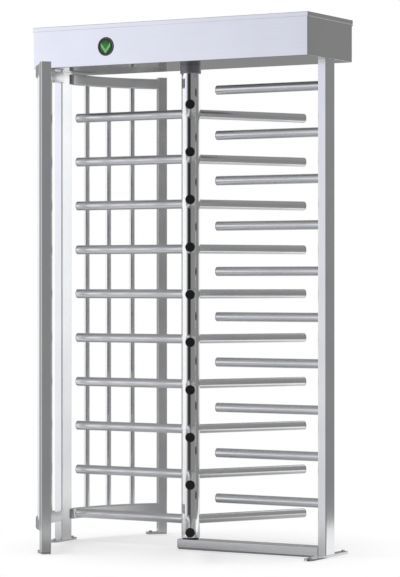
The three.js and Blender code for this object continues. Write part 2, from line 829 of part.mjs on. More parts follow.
// Key lock in the header's underside: barrel with a keyway, flange below and cam above.
function addKeyLock() {
  const flangeTop = headerBottom - seat;
  const outline = [
    [0, flangeTop - keyFlange],
    [keyFlangeRadius, flangeTop - keyFlange],
    [keyFlangeRadius, flangeTop],
    [keyRadius, flangeTop],
    [keyRadius, flangeTop + keyLength],
    [0, flangeTop + keyLength],
  ];
  const camTop = flangeTop + keyLength;
  const cam = block(-keyCam, 0, -keyRadius / 2, keyRadius / 2, camTop - keyCamThickness, camTop);
  const keyway = block(
    -keySlotLength / 2,
    keySlotLength / 2,
    -keySlotWidth / 2,
    keySlotWidth / 2,
    flangeTop - keyFlange - overrun,
    flangeTop - keyFlange + keySlotDepth,
  );
  const body = revolve(outline, smallSides).add(cam).subtract(keyway);
  place("key_lock", body, zincSteel, root, [keyX, keyY, 0]);
}

// Control board on standoffs, with a row of relays and a terminal strip along each long edge.
function addControlBoard() {
  const base = floorOfBox + seat + standoffHeight;
  const top = base + boardThickness;
  const [hx, hy] = [boardLength / 2, boardWidth / 2];
  const pieces = [block(-hx, hx, -hy, hy, base, top)];
  for (const sx of [-1, 1]) {
    for (const sy of [-1, 1]) {
      const post = bar(standoffRadius, floorOfBox + seat, base + rootOverlap, smallSides);
      pieces.push(post.translate([sx * (hx - standoffInset), sy * (hy - standoffInset), 0]));
    }
  }
  for (let i = 0; i < relayCount; i++) {
    const x = ((i + 1 / 2) / relayCount) * boardLength - hx;
    const half = relaySize / 2;
    pieces.push(block(x - half, x + half, -half, half, top - rootOverlap, top + relaySize));
  }
  for (const sy of [-1, 1]) {
    const y = sy * (hy - 2 * standoffInset - terminalDepth / 2);
    const [y0, y1] = [y - terminalDepth / 2, y + terminalDepth / 2];
    const end = hx - 3 * standoffInset;
    pieces.push(block(-end, end, y0, y1, top - rootOverlap, top + terminalHeight));
  }
  place("control_board", join(pieces), boardGreen, frame, [boardX, 0, 0]);
}

// Power supply with cooling fins across its top.
function addPowerSupply() {
  const base = floorOfBox + seat;
  const [hx, hy] = [supplyLength / 2, supplyWidth / 2];
  const body = block(-hx, hx, -hy, hy, base, base + supplyHeight);
  const pitch = supplyLength / finCount;
  const slots = [];
  for (let i = 0; i < finCount - 1; i++) {
    const x = (i + 1) * pitch - hx;
    const top = base + supplyHeight;
    slots.push(
      block(x - pitch / 4, x + pitch / 4, -hy - overrun, hy + overrun, top - finDepth, top + overrun),
    );
  }
  place("power_supply", cut(body, slots), castAluminium, frame, [supplyX, 0, 0]);
}

addCombPost();
addLeftPost();
addCagePost("front_cage_post", -1);
addCagePost("rear_cage_post", 1);
addCagePanel("front_cage_panel", -1);
addCagePanel("rear_cage_panel", 1);
addBaseBeam();
addFloorBearing();
addBearingCollar();
addHeaderHousing();
addHeaderLid();
addIndicator("front_indicator", -1);
addIndicator("rear_indicator", 1);
addKeyLock();
addControlBoard();
addPowerSupply();
addMechanismPlate();
addUpperBearing();
addRotaryDamper();
addDamperPinion();
for (const side of [-1, 1]) {
  const word = side < 0 ? "left" : "right";
  addPawl(word + "_pawl", side);
  const coil = addPawlSpring(word + "_pawl_spring", side);
  console.log(word + " pawl spring: least gap " + leastGap(coil).toFixed(2) + " mm");
  addMagnet(word + "_magnet", side);
}
addHeadShaft();
addLockWheel();
addDamperGear();
addRotorColumn();
addRotorArms();

export default root;
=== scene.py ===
"""Looks of the full height turnstile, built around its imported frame. Metres, +Z up. The origin is
on the floor under the rotor's axis, +X runs to the comb side and +Y to the back."""

import math

import bpy
from mathutils import Matrix, Vector


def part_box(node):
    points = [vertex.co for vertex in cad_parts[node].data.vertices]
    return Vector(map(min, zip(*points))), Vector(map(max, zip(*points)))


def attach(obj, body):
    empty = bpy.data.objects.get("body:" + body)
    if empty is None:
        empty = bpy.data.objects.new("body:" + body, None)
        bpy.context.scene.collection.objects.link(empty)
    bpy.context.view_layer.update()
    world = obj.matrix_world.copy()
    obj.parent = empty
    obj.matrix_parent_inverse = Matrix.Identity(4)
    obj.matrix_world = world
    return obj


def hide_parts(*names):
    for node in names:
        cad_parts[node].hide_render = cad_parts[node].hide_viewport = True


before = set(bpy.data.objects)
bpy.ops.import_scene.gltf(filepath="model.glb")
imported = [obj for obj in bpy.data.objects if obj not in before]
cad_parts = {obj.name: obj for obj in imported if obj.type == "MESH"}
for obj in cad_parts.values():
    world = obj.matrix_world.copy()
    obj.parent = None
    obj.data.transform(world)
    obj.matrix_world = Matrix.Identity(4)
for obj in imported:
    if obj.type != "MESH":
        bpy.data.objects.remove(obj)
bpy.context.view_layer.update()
scene = bpy.context.scene

# Sizes that the pieces share with the solids
SEAT = 0.0003
COLUMN_R = 0.040
ARM_R = 0.020
REACH = 0.585
LOWEST_ARM = 0.129
ARM_PITCH = 0.196
ARM_COUNT = 10
REST_ANGLE = math.radians(-60)
POST_FACE = 0.642
POST_W = 0.040
POST_D = 0.080
POST_CENTRE = POST_FACE + POST_W / 2
POST_TOP = 2.1017
COMB_TIP = 0.132
PLATE_T = 0.010
RIGHT_PLATE = 0.360
LEFT_PLATE = 0.190
BOLT_INSET = 0.022
CAGE_R = 0.652
CAGE_SPREAD = math.radians(48)
RAIL = 0.042
RAIL_H = 0.044
RAIL_LOW = 0.097
RAIL_TOP = 2.0947
BAR_R = 0.0125
BAR_SHARES = (0.2825, 0.512, 0.738)
FOOT_REACH = 0.0754
HEADER_BOTTOM = 2.102
HEADER_TOP = 2.283
LID_X = 0.686
LID_FRONT = -0.210
LID_BACK = 0.206
LID_SKIRT = 0.019
BOX_X = 0.683
BOX_FRONT = -0.207
BOX_BACK = 0.203
SHEET = 0.002
INDICATOR_X = -0.306
INDICATOR_Z = 2.184
INDICATOR_R = 0.041
KEY_X = -0.208
KEY_Y = -0.146


# Mesh making: a maker of a solid returns (points, faces) of one closed surface

LEAST_DOT = 0.3
EDGE = 0.0006
FINE_EDGE = 0.0004


def ring_faces(count, sides, closed=False):
    """Quads between rings of points, each ring with the same number of sides."""
    faces = []
    for i in range(count if closed else count - 1):
        a, b = i * sides, ((i + 1) % count) * sides
        for k in range(sides):
            n = (k + 1) % sides
            faces.append((a + k, a + n, b + n, b + k))
    return faces


def loft(rings):
    """Solid through rings of points, closed by a flat face at each end."""
    sides = len(rings[0])
    points = [Vector(p) for ring in rings for p in ring]
    faces = ring_faces(len(rings), sides)
    faces.append(tuple(reversed(range(sides))))
    last = (len(rings) - 1) * sides
    faces.append(tuple(range(last, last + sides)))
    return points, faces


def lathe(outline, sides):
    """Outline of (radius, height) pairs turned about +Z. It starts and ends on the axis, or is a
    closed loop away from it."""
    closed = outline[0][0] > 0
    rings = [
        [
            Vector((r * math.cos(a), r * math.sin(a), z))
            for a in (2 * math.pi * k / sides for k in range(sides))
        ]
        for r, z in outline
        if r > 0
    ]
    points = [p for ring in rings for p in ring]
    faces = ring_faces(len(rings), sides, closed)
    if not closed:
        low, high = len(points), len(points) + 1
        points += [Vector((0, 0, outline[0][1])), Vector((0, 0, outline[-1][1]))]
        last = (len(rings) - 1) * sides
        for k in range(sides):
            n = (k + 1) % sides
            faces.append((low, n, k))
            faces.append((high, last + k, last + n))
    return points, faces


def arc(x, y, r, start, sweep, steps):
    """Points of an arc in the XY plane, from a start through a sweep, both in degrees."""
    turns = (math.radians(start + sweep * k / steps) for k in range(steps + 1))
    return [(x + r * math.cos(a), y + r * math.sin(a)) for a in turns]


def rounded(width, depth, corner, steps=5):
    """Points of a rectangle with rounded corners, in the XY plane."""
    x, y = width / 2 - corner, depth / 2 - corner
    points = []
    for sx, sy, start in ((1, 1, 0), (-1, 1, 90), (-1, -1, 180), (1, -1, 270)):
        points += arc(sx * x, sy * y, corner, start, 90, steps)
    return points


def hexagon(r, start=0):
    """Corners of a hexagon in the XY plane, the first at an angle in degrees."""
    turns = (math.radians(60 * k + start) for k in range(6))
    return [(r * math.cos(a), r * math.sin(a)) for a in turns]


def inset(outline, by):
    """Outline of a convex shape moved in by a distance, point by point."""
    points = []
    n = len(outline)
    for i in range(n):
        a, b, c = Vector(outline[i - 1]), Vector(outline[i]), Vector(outline[(i + 1) % n])
        before, after = (b - a).normalized(), (c - b).normalized()
        normal = Vector((-(before.y + after.y), before.x + after.x)).normalized()
        reach = by / max(LEAST_DOT, normal.dot(Vector((-before.y, before.x))))
        points.append(tuple(b + normal * reach))
    return points


def prism(outline, z0, z1, chamfer=EDGE):
    """Flat convex outline drawn up between two heights, with small chamfers at both faces."""
    small = inset(outline, chamfer)
    return loft(
        [
            [(x, y, z0) for x, y in small],
            [(x, y, z0 + chamfer) for x, y in outline],
            [(x, y, z1 - chamfer) for x, y in outline],
            [(x, y, z1) for x, y in small],
        ]
    )


def bead(path, radius, axis, sides=6):
    """Weld bead along a closed path about an axis."""
    axis = Vector(axis).normalized()
    rings = []
    n = len(path)
    for i in range(n):
        along = (path[(i + 1) % n] - path[i - 1]).normalized()
        out = along.cross(axis).normalized()
        up = out.cross(along)
        ring = []
        for k in range(sides):
            a = 2 * math.pi * k / sides
            ring.append(path[i] + radius * (math.cos(a) * out + math.sin(a) * up))
        rings.append(ring)
    points = [p for ring in rings for p in ring]
    return points, ring_faces(n, sides, closed=True)


def moved(shape, matrix):
    points, faces = shape
    return [matrix @ p for p in points], faces


def turned(degrees, axis):
    return Matrix.Rotation(math.radians(degrees), 4, axis)


def shifted(x, y, z):
    return Matrix.Translation((x, y, z))


def cylinder(r, z0, z1, sides=48):
    return lathe([(0, z0), (r, z0), (r, z1), (0, z1)], sides)


def slab(x0, x1, y0, y1, z0, z1, corner=0.001, chamfer=FINE_EDGE):
    """Block with softened edges."""
    outline = rounded(x1 - x0, y1 - y0, corner, 3)
    return moved(prism(outline, z0, z1, chamfer), shifted((x0 + x1) / 2, (y0 + y1) / 2, 0))


def block(x, y, z, size, corner, chamfer=FINE_EDGE):
    """Block of a size that stands on a height, with softened edges."""
    width, depth, height = size
    x0, y0 = x - width / 2, y - depth / 2
    return slab(x0, x0 + width, y0, y0 + depth, z, z + height, corner, chamfer)


def closed_object(name, shapes):
    """Mesh object from several closed surfaces, with every face pointing out."""
    points, faces = [], []
    for shape_points, shape_faces in shapes:
        base = len(points)
        points += shape_points
        faces += [tuple(base + k for k in face) for face in shape_faces]
    mesh = bpy.data.meshes.new(name)
    mesh.from_pydata(points, [], faces)
    mesh.validate()
    obj = bpy.data.objects.new(name, mesh)
    scene.collection.objects.link(obj)
    bpy.context.view_layer.objects.active = obj
    obj.select_set(True)
    bpy.ops.object.mode_set(mode="EDIT")
    bpy.ops.mesh.select_all(action="SELECT")
    bpy.ops.mesh.normals_make_consistent(inside=False)
    bpy.ops.object.mode_set(mode="OBJECT")
    obj.select_set(False)
    return obj


def cut_out(obj, shapes):
    """Take closed surfaces out of an object's mesh."""
    tool = closed_object(obj.name + "_cut", shapes)
    change = obj.modifiers.new("cut", "BOOLEAN")
    change.operation = "DIFFERENCE"
    change.solver = "EXACT"
    change.object = tool
    bpy.context.view_layer.objects.active = obj
    bpy.ops.object.modifier_apply(modifier=change.name)
    bpy.data.objects.remove(tool)


def piece(name, shapes, finish, replaces=(), at=None, body="frame", sharp=32, cuts=()):
    """One object from several closed surfaces, less its cuts. It rides on its body."""
    material, slot = finish
    obj = closed_object(name, shapes)
    if cuts:
        cut_out(obj, cuts)
    mesh = obj.data
    mesh.shade_smooth()
    mesh.set_sharp_from_angle(angle=math.radians(sharp))
    mesh.materials.append(material)
    even = obj.modifiers.new("even_faces", "WEIGHTED_NORMAL")
    even.mode = "FACE_AREA"
    even.weight = 100
    even.keep_sharp = True
    if at is not None:
        obj.matrix_world = at
    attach(obj, body)
    if replaces:
        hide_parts(*replaces)


# Finishes: every maker returns (material, slot)

NOISE_LOW = 0.3
NOISE_HIGH = 0.7
TONE_LOW = 0.75
TONE_HIGH = 1.25
BRUSH_DEPTH = 0.001
GRAIN_DEPTH = 0.0003
LENS_BRIGHT_R = 0.008
LENS_DARK_R = 0.030
# Painted shade on the header's underside: full up to the first height above its bottom, gone from
# the second, and the share of colour left under it
FULL_SHADE_UNTIL = 0.0003
BRIGHT_FROM = 0.0009
UNDERSIDE_SHADE_SHARE = 0.43
# Lines of the grain in a metre, along X, Y and Z
ALONG_X = (6, 900, 900)
ALONG_Z = (900, 900, 6)
EVEN = (400, 400, 400)


def feed(tree, target, inputs):
    for key, value in inputs.items():
        if isinstance(value, bpy.types.NodeSocket):
            tree.links.new(value, target.inputs[key])
        else:
            target.inputs[key].default_value = value


def node(tree, kind, inputs=None, **settings):
    made = tree.nodes.new(kind)
    for key, value in settings.items():
        setattr(made, key, value)
    feed(tree, made, inputs or {})
    return made


def blank(name):
    material = bpy.data.materials.new(name)
    material.use_nodes = True
    tree = material.node_tree
    where = node(tree, "ShaderNodeTexCoord").outputs["Object"]
    return material, tree, tree.nodes["Principled BSDF"], where


def between(tree, value, low, high, to_low, to_high):
    made = node(
        tree,
        "ShaderNodeMapRange",
        {"Value": value, "From Min": low, "From Max": high, "To Min": to_low, "To Max": to_high},
    )
    return made.outputs["Result"]


def mix(tree, factor, first, second, blend="MIX"):
    made = node(
        tree,
        "ShaderNodeMix",
        {"Factor": factor, "A": first, "B": second},
        data_type="RGBA",
        blend_type=blend,
    )
    return made.outputs["Result"]


def noise(tree, where, scale, detail):
    made = node(tree, "ShaderNodeTexNoise", {"Vector": where, "Scale": scale, "Detail": detail})
    return made.outputs["Fac"]


def distance(tree, vector):
    return node(tree, "ShaderNodeVectorMath", {0: vector}, operation="LENGTH").outputs["Value"]


def stepped(tree, factor, stops):
    """Colour ramp through (place, colour) stops."""
    ramp = node(tree, "ShaderNodeValToRGB", {"Fac": factor})
    elements = ramp.color_ramp.elements
    elements.remove(elements[1])
    for k, (place, colour) in enumerate(stops):
        element = elements[0] if k == 0 else elements.new(place)
        element.position = place
        element.color = (*colour, 1)
    return ramp.outputs["Color"]


def uneven(tree, pattern, middle, spread):
    return between(tree, pattern, NOISE_LOW, NOISE_HIGH, middle - spread, middle + spread)


def relief(tree, pattern, strength, depth):
    inputs = {"Height": pattern, "Strength": strength, "Distance": depth}
    return node(tree, "ShaderNodeBump", inputs).outputs["Normal"]


def metal(name, slot, dark, light, rough, spread, grain=EVEN, bump=0.02):
    """Brushed metal: fine lines drawn out along one axis over broad changes of tone."""
    material, tree, shader, where = blank(name)
    lines = node(tree, "ShaderNodeMapping", {"Vector": where, "Scale": grain}).outputs["Vector"]
    fine = noise(tree, lines, scale=1.0, detail=3.0)
    broad = noise(tree, where, scale=4.0, detail=4.0)
    both = node(tree, "ShaderNodeMath", {0: fine, 1: broad}, operation="ADD").outputs[0]
    tone = between(tree, both, TONE_LOW, TONE_HIGH, 0, 1)
    inputs = {
        "Base Color": stepped(tree, tone, ((0, dark), (1, light))),
        "Metallic": 1,
        "Roughness": uneven(tree, fine, rough, spread),
        "Normal": relief(tree, fine, bump, BRUSH_DEPTH),
    }
    feed(tree, shader, inputs)
    return material, slot


def painted_shade_below(finish, height, share):
    """Painted shade: darker base colour on the faces that lie under a height."""
    tree = finish[0].node_tree
    base = tree.nodes["Principled BSDF"].inputs["Base Color"]
    where = node(tree, "ShaderNodeTexCoord").outputs["Object"]
    level = node(tree, "ShaderNodeSeparateXYZ", {"Vector": where}).outputs["Z"]
    factor = between(tree, level, height + FULL_SHADE_UNTIL, height + BRIGHT_FROM, share, 1)
    tree.links.new(mix(tree, 1.0, base.links[0].from_socket, factor, "MULTIPLY"), base)


def plastic(name, slot, dark, light, rough, scale=900.0, bump=0.15):
    """Moulded plastic with a fine grain."""
    material, tree, shader, where = blank(name)
    grain = noise(tree, where, scale, detail=2.0)
    broad = noise(tree, where, scale=25.0, detail=2.0)
    inputs = {
        "Base Color": stepped(tree, broad, ((0, dark), (1, light))),
        "Roughness": uneven(tree, broad, rough, spread=0.05),
        "Normal": relief(tree, grain, bump, GRAIN_DEPTH),
    }
    feed(tree, shader, inputs)
    return material, slot


def lens_plastic(name, slot, middle, rim, rough):
    """Tinted plastic, brighter in the middle of a round lens about its own axis."""
    material, tree, shader, where = blank(name)
    flat = node(tree, "ShaderNodeVectorMath", {0: where, 1: (1, 1, 0)}, operation="MULTIPLY")
    ribs = noise(tree, where, scale=400.0, detail=1.0)
    reach = between(tree, distance(tree, flat.outputs["Vector"]), LENS_BRIGHT_R, LENS_DARK_R, 0, 1)
    inputs = {
        "Base Color": stepped(tree, reach, ((0, middle), (1, rim))),
        "Roughness": uneven(tree, ribs, rough, spread=0.03),
    }
    feed(tree, shader, inputs)
    return material, slot


satin = ((0.8, 0.81, 0.83), (0.88, 0.885, 0.89))
satin_z = metal("satin_steel_upright", "satin_steel", *satin, 0.17, 0.03, ALONG_Z)
satin_x = metal("satin_steel_level", "satin_steel", *satin, 0.22, 0.03, ALONG_X)
polished_finish = ((0.88, 0.885, 0.89), (0.93, 0.935, 0.94), 0.05, 0.015, ALONG_Z, 0.005)
polished = metal("polished_steel", "polished_steel", *polished_finish)
header_finish = ((0.77, 0.775, 0.78), (0.82, 0.825, 0.83), 0.09, 0.02, ALONG_X, 0.01)
header_steel = metal("header_steel", "header_steel", *header_finish)
# Copy of the header steel with painted shade on the tray's underside, where the header shades
# itself
shaded_tray_steel = metal("shaded_tray_steel", "header_steel", *header_finish)
painted_shade_below(shaded_tray_steel, HEADER_BOTTOM, UNDERSIDE_SHADE_SHARE)
collar_steel = metal(
    "collar_steel", "collar_steel", (0.39, 0.39, 0.42), (0.5, 0.5, 0.54), 0.55, 0.05
)
bolt_steel = metal("bolt_zinc", "zinc_steel", (0.62, 0.63, 0.62), (0.8, 0.8, 0.78), 0.28, 0.08)
# Floor plates: darker steel, partly painted shade for the contact shadow around the plates
plate_steel_and_shade = metal("plate_steel_and_shade", "satin_steel", (0.6, 0.6, 0.61), (0.7, 0.7, 0.71), 0.22, 0.05)
weld_steel = metal(
    "weld_steel", "satin_steel", (0.6, 0.6, 0.6), (0.85, 0.85, 0.86), 0.25, 0.08, bump=0.1
)
zinc_steel = metal("zinc_plate", "zinc_steel", (0.58, 0.59, 0.56), (0.7, 0.7, 0.67), 0.3, 0.06)
gear_steel = metal(
    "machined_steel", "gear_steel", (0.42, 0.43, 0.45), (0.56, 0.57, 0.59), 0.28, 0.06
)
spring_steel = metal(
    "spring_wire", "spring_steel", (0.26, 0.27, 0.29), (0.36, 0.37, 0.39), 0.25, 0.05
)
cast_grey = metal(
    "cast_metal", "cast_aluminium", (0.5, 0.51, 0.52), (0.6, 0.61, 0.62), 0.45, 0.06, bump=0.2
)
lock_nickel = metal("lock_nickel", "zinc_steel", (0.3, 0.3, 0.31), (0.38, 0.38, 0.39), 0.12, 0.03)
black = plastic(
    "black_plastic", "black_plastic", (0.003, 0.003, 0.0035), (0.007, 0.007, 0.008), 0.5
)
# Dark grey rubber of the beam's pad; its darkness is partly painted shade for the gap under the
# beam
pad_rubber_and_shade = plastic(
    "base_rubber", "black_plastic", (0.2, 0.2, 0.205), (0.26, 0.26, 0.265), 0.7, 500, 0.3
)
bezel_chrome = metal(
    "bezel_dark_chrome", "black_plastic", (0.13, 0.13, 0.135), (0.17, 0.17, 0.175), 0.14, 0.03
)
lens_green = lens_plastic(
    "lens_green", "green_lens", (0.012, 0.185, 0.006), (0.008, 0.03, 0.012), 0.14
)
chevron_green = plastic(
    "chevron_green", "green_lens", (0.17, 0.43, 0.15), (0.23, 0.52, 0.21), 0.3, 600, 0.02
)
winding_tape = plastic(
    "winding_tape", "black_plastic", (0.01, 0.01, 0.012), (0.022, 0.022, 0.025), 0.35, 300, 0.3
)
board_green = plastic(
    "board_lacquer", "board_green", (0.01, 0.1, 0.04), (0.016, 0.15, 0.06), 0.25, 1500, 0.2
)
relay_blue = plastic("relay_blue", "black_plastic", (0.015, 0.045, 0.16), (0.022, 0.06, 0.2), 0.35)
terminal_green = plastic(
    "terminal_green", "board_green", (0.02, 0.2, 0.075), (0.028, 0.26, 0.1), 0.4
)


# Shared shapes

ARM_SIDES = 48
PLUG_FLANGE = 0.0026
LAP = 0.001
ANCHOR_HEAD_R = 0.0085
ANCHOR_HEAD_LOW = 0.0013
ANCHOR_HEAD_TOP = 0.0062
ANCHOR_HEAD_EDGE = 0.0009
HEAD_TO_WASHER = 1.3
HEAD_WASHER_T = 0.0012
HEAD_LOW = 0.001
HEAD_EDGE = 0.0007

# Points of a plug's dome: how far inside the arm's radius, how far before the arm's end
PLUG_DOME = (
    (0.0002, PLUG_FLANGE), (0, 0.0022), (0.0002, 0.0014), (0.0018, 0.0005), (0.0045, 0.0001),
    (0.0060, 0.0006),
)
# Washer's outline: radius, height
WASHER = ((0, 0), (0.0105, 0), (0.011, 0.0004), (0.011, 0.0014), (0, 0.0014))


def arm_tube(x0, x1):
    """Round arm along +X from x0 to x1, with a small chamfer at its free end."""
    outline = [(0, x0), (ARM_R, x0), (ARM_R, x1 - EDGE), (ARM_R - EDGE, x1), (0, x1)]
    return moved(lathe(outline, ARM_SIDES), turned(90, "Y"))


def plug(x1):
    """Black end plug along +X: thin domed flange that ends at x1."""
    dome = [(ARM_R - inside, x1 - before) for inside, before in PLUG_DOME]
    outline = [(0, dome[0][1])] + dome + [(0, dome[-1][1])]
    return moved(lathe(outline, ARM_SIDES), turned(90, "Y"))


def saddle_bead(radius=0.0014, steps=40):
    """Weld where an arm along +X meets the column."""
    path = []
    for k in range(steps):
        a = 2 * math.pi * k / steps
        y, z = ARM_R * math.cos(a), ARM_R * math.sin(a)
        path.append(Vector((math.sqrt(COLUMN_R**2 - y * y), y, z)))
    return bead(path, radius, (1, 0, 0))


def flat_bead(r, axis, radius=0.0012, steps=40):
    """Weld where a round piece along an axis meets a flat face at the origin."""
    axis = Vector(axis).normalized()
    side = axis.orthogonal().normalized()
    other = axis.cross(side)
    path = []
    for k in range(steps):
        a = 2 * math.pi * k / steps
        path.append(r * (math.cos(a) * side + math.sin(a) * other))
    return bead(path, radius, axis)


def anchor_bolt(x, y):
    """Washer and low hex head of an anchor in a floor plate."""
    outline = hexagon(ANCHOR_HEAD_R)
    head = prism(outline, ANCHOR_HEAD_LOW, ANCHOR_HEAD_TOP, ANCHOR_HEAD_EDGE)
    return [moved(s, shifted(x, y, PLATE_T)) for s in (lathe(WASHER, sides=32), head)]


def hex_head(x, y, z, r, height):
    """Washer and hex head of a screw inside the header."""
    washer = cylinder(r * HEAD_TO_WASHER, 0, HEAD_WASHER_T, sides=32)
    head = prism(hexagon(r, 15), HEAD_LOW, height, HEAD_EDGE)
    return [moved(s, shifted(x, y, z)) for s in (washer, head)]


def strip_plate(width, y0, y1, near_round=True, steps=14):
    """Outline of a floor plate along Y, round at its far end and, unless said, at its near end."""
    r = width / 2
    near = arc(0, y0 + r, r, 180, 180, steps) if near_round else [(-r, y0), (r, y0)]
    return near + arc(0, y1 - r, r, 0, 180, steps)


# Posts and comb

TUBE_CORNER = 0.004
TUBE_EDGE = 0.0003
PLATE_EDGE = 0.0008
POST_WELD_R = 0.0014


def main_post(side, plate_length, name):
    at = shifted(side * POST_CENTRE, 0, 0)
    section = rounded(POST_W, POST_D, TUBE_CORNER)
    tube = prism(section, PLATE_T, POST_TOP, TUBE_EDGE)
    piece(name + "_tube", [moved(tube, at)], satin_z, [name])
    half = plate_length / 2
    plate = prism(strip_plate(POST_W, -half, half), 0, PLATE_T, PLATE_EDGE)
    piece(name + "_plate", [moved(plate, at)], plate_steel_and_shade, [name])
    bolts = []
    for sy in (-1, 1):
        bolts += anchor_bolt(side * POST_CENTRE, sy * (half - BOLT_INSET))
    piece(name + "_bolts", bolts, bolt_steel)
    seam = bead([Vector((x, y, PLATE_T)) for x, y in section], POST_WELD_R, (0, 0, 1))
    piece(name + "_weld", [moved(seam, at)], weld_steel)


def comb():
    arms, plugs, beads = [], [], []
    length = POST_FACE - COMB_TIP
    for i in range(ARM_COUNT):
        at = shifted(POST_FACE, 0, LOWEST_ARM + (i + 0.5) * ARM_PITCH) @ turned(180, "Z")
        arms.append(moved(arm_tube(-LAP, length - PLUG_FLANGE), at))
        plugs.append(moved(plug(length), at))
        beads.append(moved(flat_bead(ARM_R, (1, 0, 0)), at))
    piece("comb_arms", arms, satin_x, ["comb_post"])
    piece("comb_arm_plugs", plugs, black)
    piece("comb_arm_welds", beads, weld_steel)


# Cage

RAIL_CORNER = 0.003
FOOT_W = 0.039


def cage_post(side, name):
    turn = Matrix.Rotation(math.pi - side * CAGE_SPREAD, 4, "Z")
    at = turn @ shifted(CAGE_R, 0, 0) @ turned(0 if side > 0 else 180, "Z")
    tube = prism(rounded(RAIL, RAIL, RAIL_CORNER), PLATE_T, POST_TOP, TUBE_EDGE)
    piece(name + "_tube", [tube], satin_z, [name], at)
    outline = strip_plate(FOOT_W, -FOOT_W / 2, FOOT_REACH, False)
    plate = prism(outline, 0, PLATE_T, PLATE_EDGE)
    piece(name + "_foot", [plate], plate_steel_and_shade, [name], at)
    bolts = anchor_bolt(0, FOOT_REACH - BOLT_INSET)
    piece(name + "_bolt", bolts, bolt_steel, at=at)


def arc_rail(z0, a0, a1, steps=36):
    """Rail bent round the rotor's axis from one angle to another."""
    section = rounded(RAIL, RAIL_H, RAIL_CORNER, 3)
    middle = z0 + RAIL_H / 2
    rings = []
    for k in range(steps + 1):
        a = a0 + (a1 - a0) * k / steps
        c, s = math.cos(a), math.sin(a)
        rings.append([((CAGE_R + u) * c, (CAGE_R + u) * s, middle + v) for u, v in section])
    return loft(rings)


def cage_panel(side, name):
    near = math.asin((POST_D / 2 + SEAT) / CAGE_R)
    far = CAGE_SPREAD - math.asin((RAIL / 2 + SEAT) / CAGE_R)
    a0, a1 = sorted((math.pi - side * near, math.pi - side * far))
    low, high = RAIL_LOW + RAIL_H, RAIL_TOP - RAIL_H
    rails = [arc_rail(z, a0, a1) for z in (RAIL_LOW, high)]
    piece(name + "_rails", rails, satin_x, [name])
    bars, beads = [], []
    for share in BAR_SHARES:
        a = math.pi - side * share * CAGE_SPREAD
        at = shifted(CAGE_R * math.cos(a), CAGE_R * math.sin(a), 0)
        bars.append(moved(cylinder(BAR_R, low - LAP, high + LAP, sides=40), at))
        for z in (low, high):
            beads.append(moved(flat_bead(BAR_R, (0, 0, 1)), at @ shifted(0, 0, z)))
    piece(name + "_bars", bars, satin_z, [name])
    piece(name + "_welds", beads, weld_steel)


# Rotor and floor beam

ROUND_SIDES = 96
COLUMN_BORE = 0.037
COLUMN_EDGE = 0.001
COLUMN_FLOOR = 0.015
PIVOT_BORE = 0.016
ARM_SINK = 0.004
BEAM_PAD = 0.006
PAD_CORNER = 0.003
PAD_START = 0.002
PAD_INSET = 0.0025
COLLAR_GAP = 0.0015
COLLAR_EDGE = 0.002
COLLAR_HOLE_R = 0.024
COLLAR_TOP_T = 0.004


def rotor():
    low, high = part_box("rotor_column")
    floor = low.z + COLUMN_FLOOR
    outline = [
        (PIVOT_BORE, low.z),
        (COLUMN_R - COLUMN_EDGE, low.z),
        (COLUMN_R, low.z + COLUMN_EDGE),
        (COLUMN_R, high.z - COLUMN_EDGE),
        (COLUMN_R - COLUMN_EDGE, high.z),
        (COLUMN_BORE, high.z),
        (COLUMN_BORE, floor),
        (PIVOT_BORE, floor),
    ]
    tube = lathe(outline, ROUND_SIDES)
    piece("rotor_column_tube", [tube], polished, ["rotor_column"], body="rotor")
    for w, wing in enumerate(("front", "rear", "left")):
        arms, plugs, beads = [], [], []
        for i in range(ARM_COUNT):
            at = shifted(0, 0, LOWEST_ARM + i * ARM_PITCH)
            arms.append(moved(arm_tube(COLUMN_R - ARM_SINK, REACH - PLUG_FLANGE), at))
            plugs.append(moved(plug(REACH), at))
            beads.append(moved(saddle_bead(), at))
        nodes = [f"{wing}_wing_arm_{i + 1:02d}" for i in range(ARM_COUNT)]
        turn = Matrix.Rotation(REST_ANGLE + w * 2 * math.pi / 3, 4, "Z")
        piece(wing + "_wing_arms", arms, satin_x, nodes, turn, body="rotor")
        piece(wing + "_wing_plugs", plugs, black, at=turn, body="rotor")
        piece(wing + "_wing_welds", beads, weld_steel, at=turn, body="rotor")


def base_beam():
    """Tube on a thin pad, between the floor bearing and the comb post. The pad's dark grey is
    partly painted shade, for the shade in the gap under the beam.
    """
    low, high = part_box("base_beam")
    height = high.z - low.z - BEAM_PAD
    section = rounded(height, high.y - low.y, TUBE_CORNER)
    beam = moved(prism(section, 0, high.x - low.x), turned(90, "Y"))
    at = shifted(low.x, 0, BEAM_PAD + height / 2)
    piece("base_beam_tube", [moved(beam, at)], satin_x, ["base_beam"])
    front, back = low.y + PAD_INSET, high.y - PAD_INSET
    pad = slab(low.x + PAD_START, high.x, front, back, 0, BEAM_PAD + LAP, PAD_CORNER)
    piece("base_beam_pad", [pad], pad_rubber_and_shade)


def bearing_collar():
    low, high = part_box("bearing_collar")
    bore, outer = COLUMN_R + COLLAR_GAP, high.x
    outline = [
        (bore, low.z),
        (outer - COLLAR_EDGE, low.z),
        (outer, low.z + COLLAR_EDGE),
        (outer, high.z),
        (COLLAR_HOLE_R, high.z),
        (COLLAR_HOLE_R, high.z - COLLAR_TOP_T),
        (bore, high.z - COLLAR_TOP_T),
    ]
    sleeve = lathe(outline, ROUND_SIDES)
    piece("bearing_collar_sleeve", [sleeve], collar_steel, ["bearing_collar"])


main_post(1, RIGHT_PLATE, "comb_post")
main_post(-1, LEFT_PLATE, "left_post")
comb()
cage_post(-1, "front_cage_post")
cage_post(1, "rear_cage_post")
cage_panel(-1, "front_cage_panel")
cage_panel(1, "rear_cage_panel")
rotor()
base_beam()
bearing_collar()


# Header box

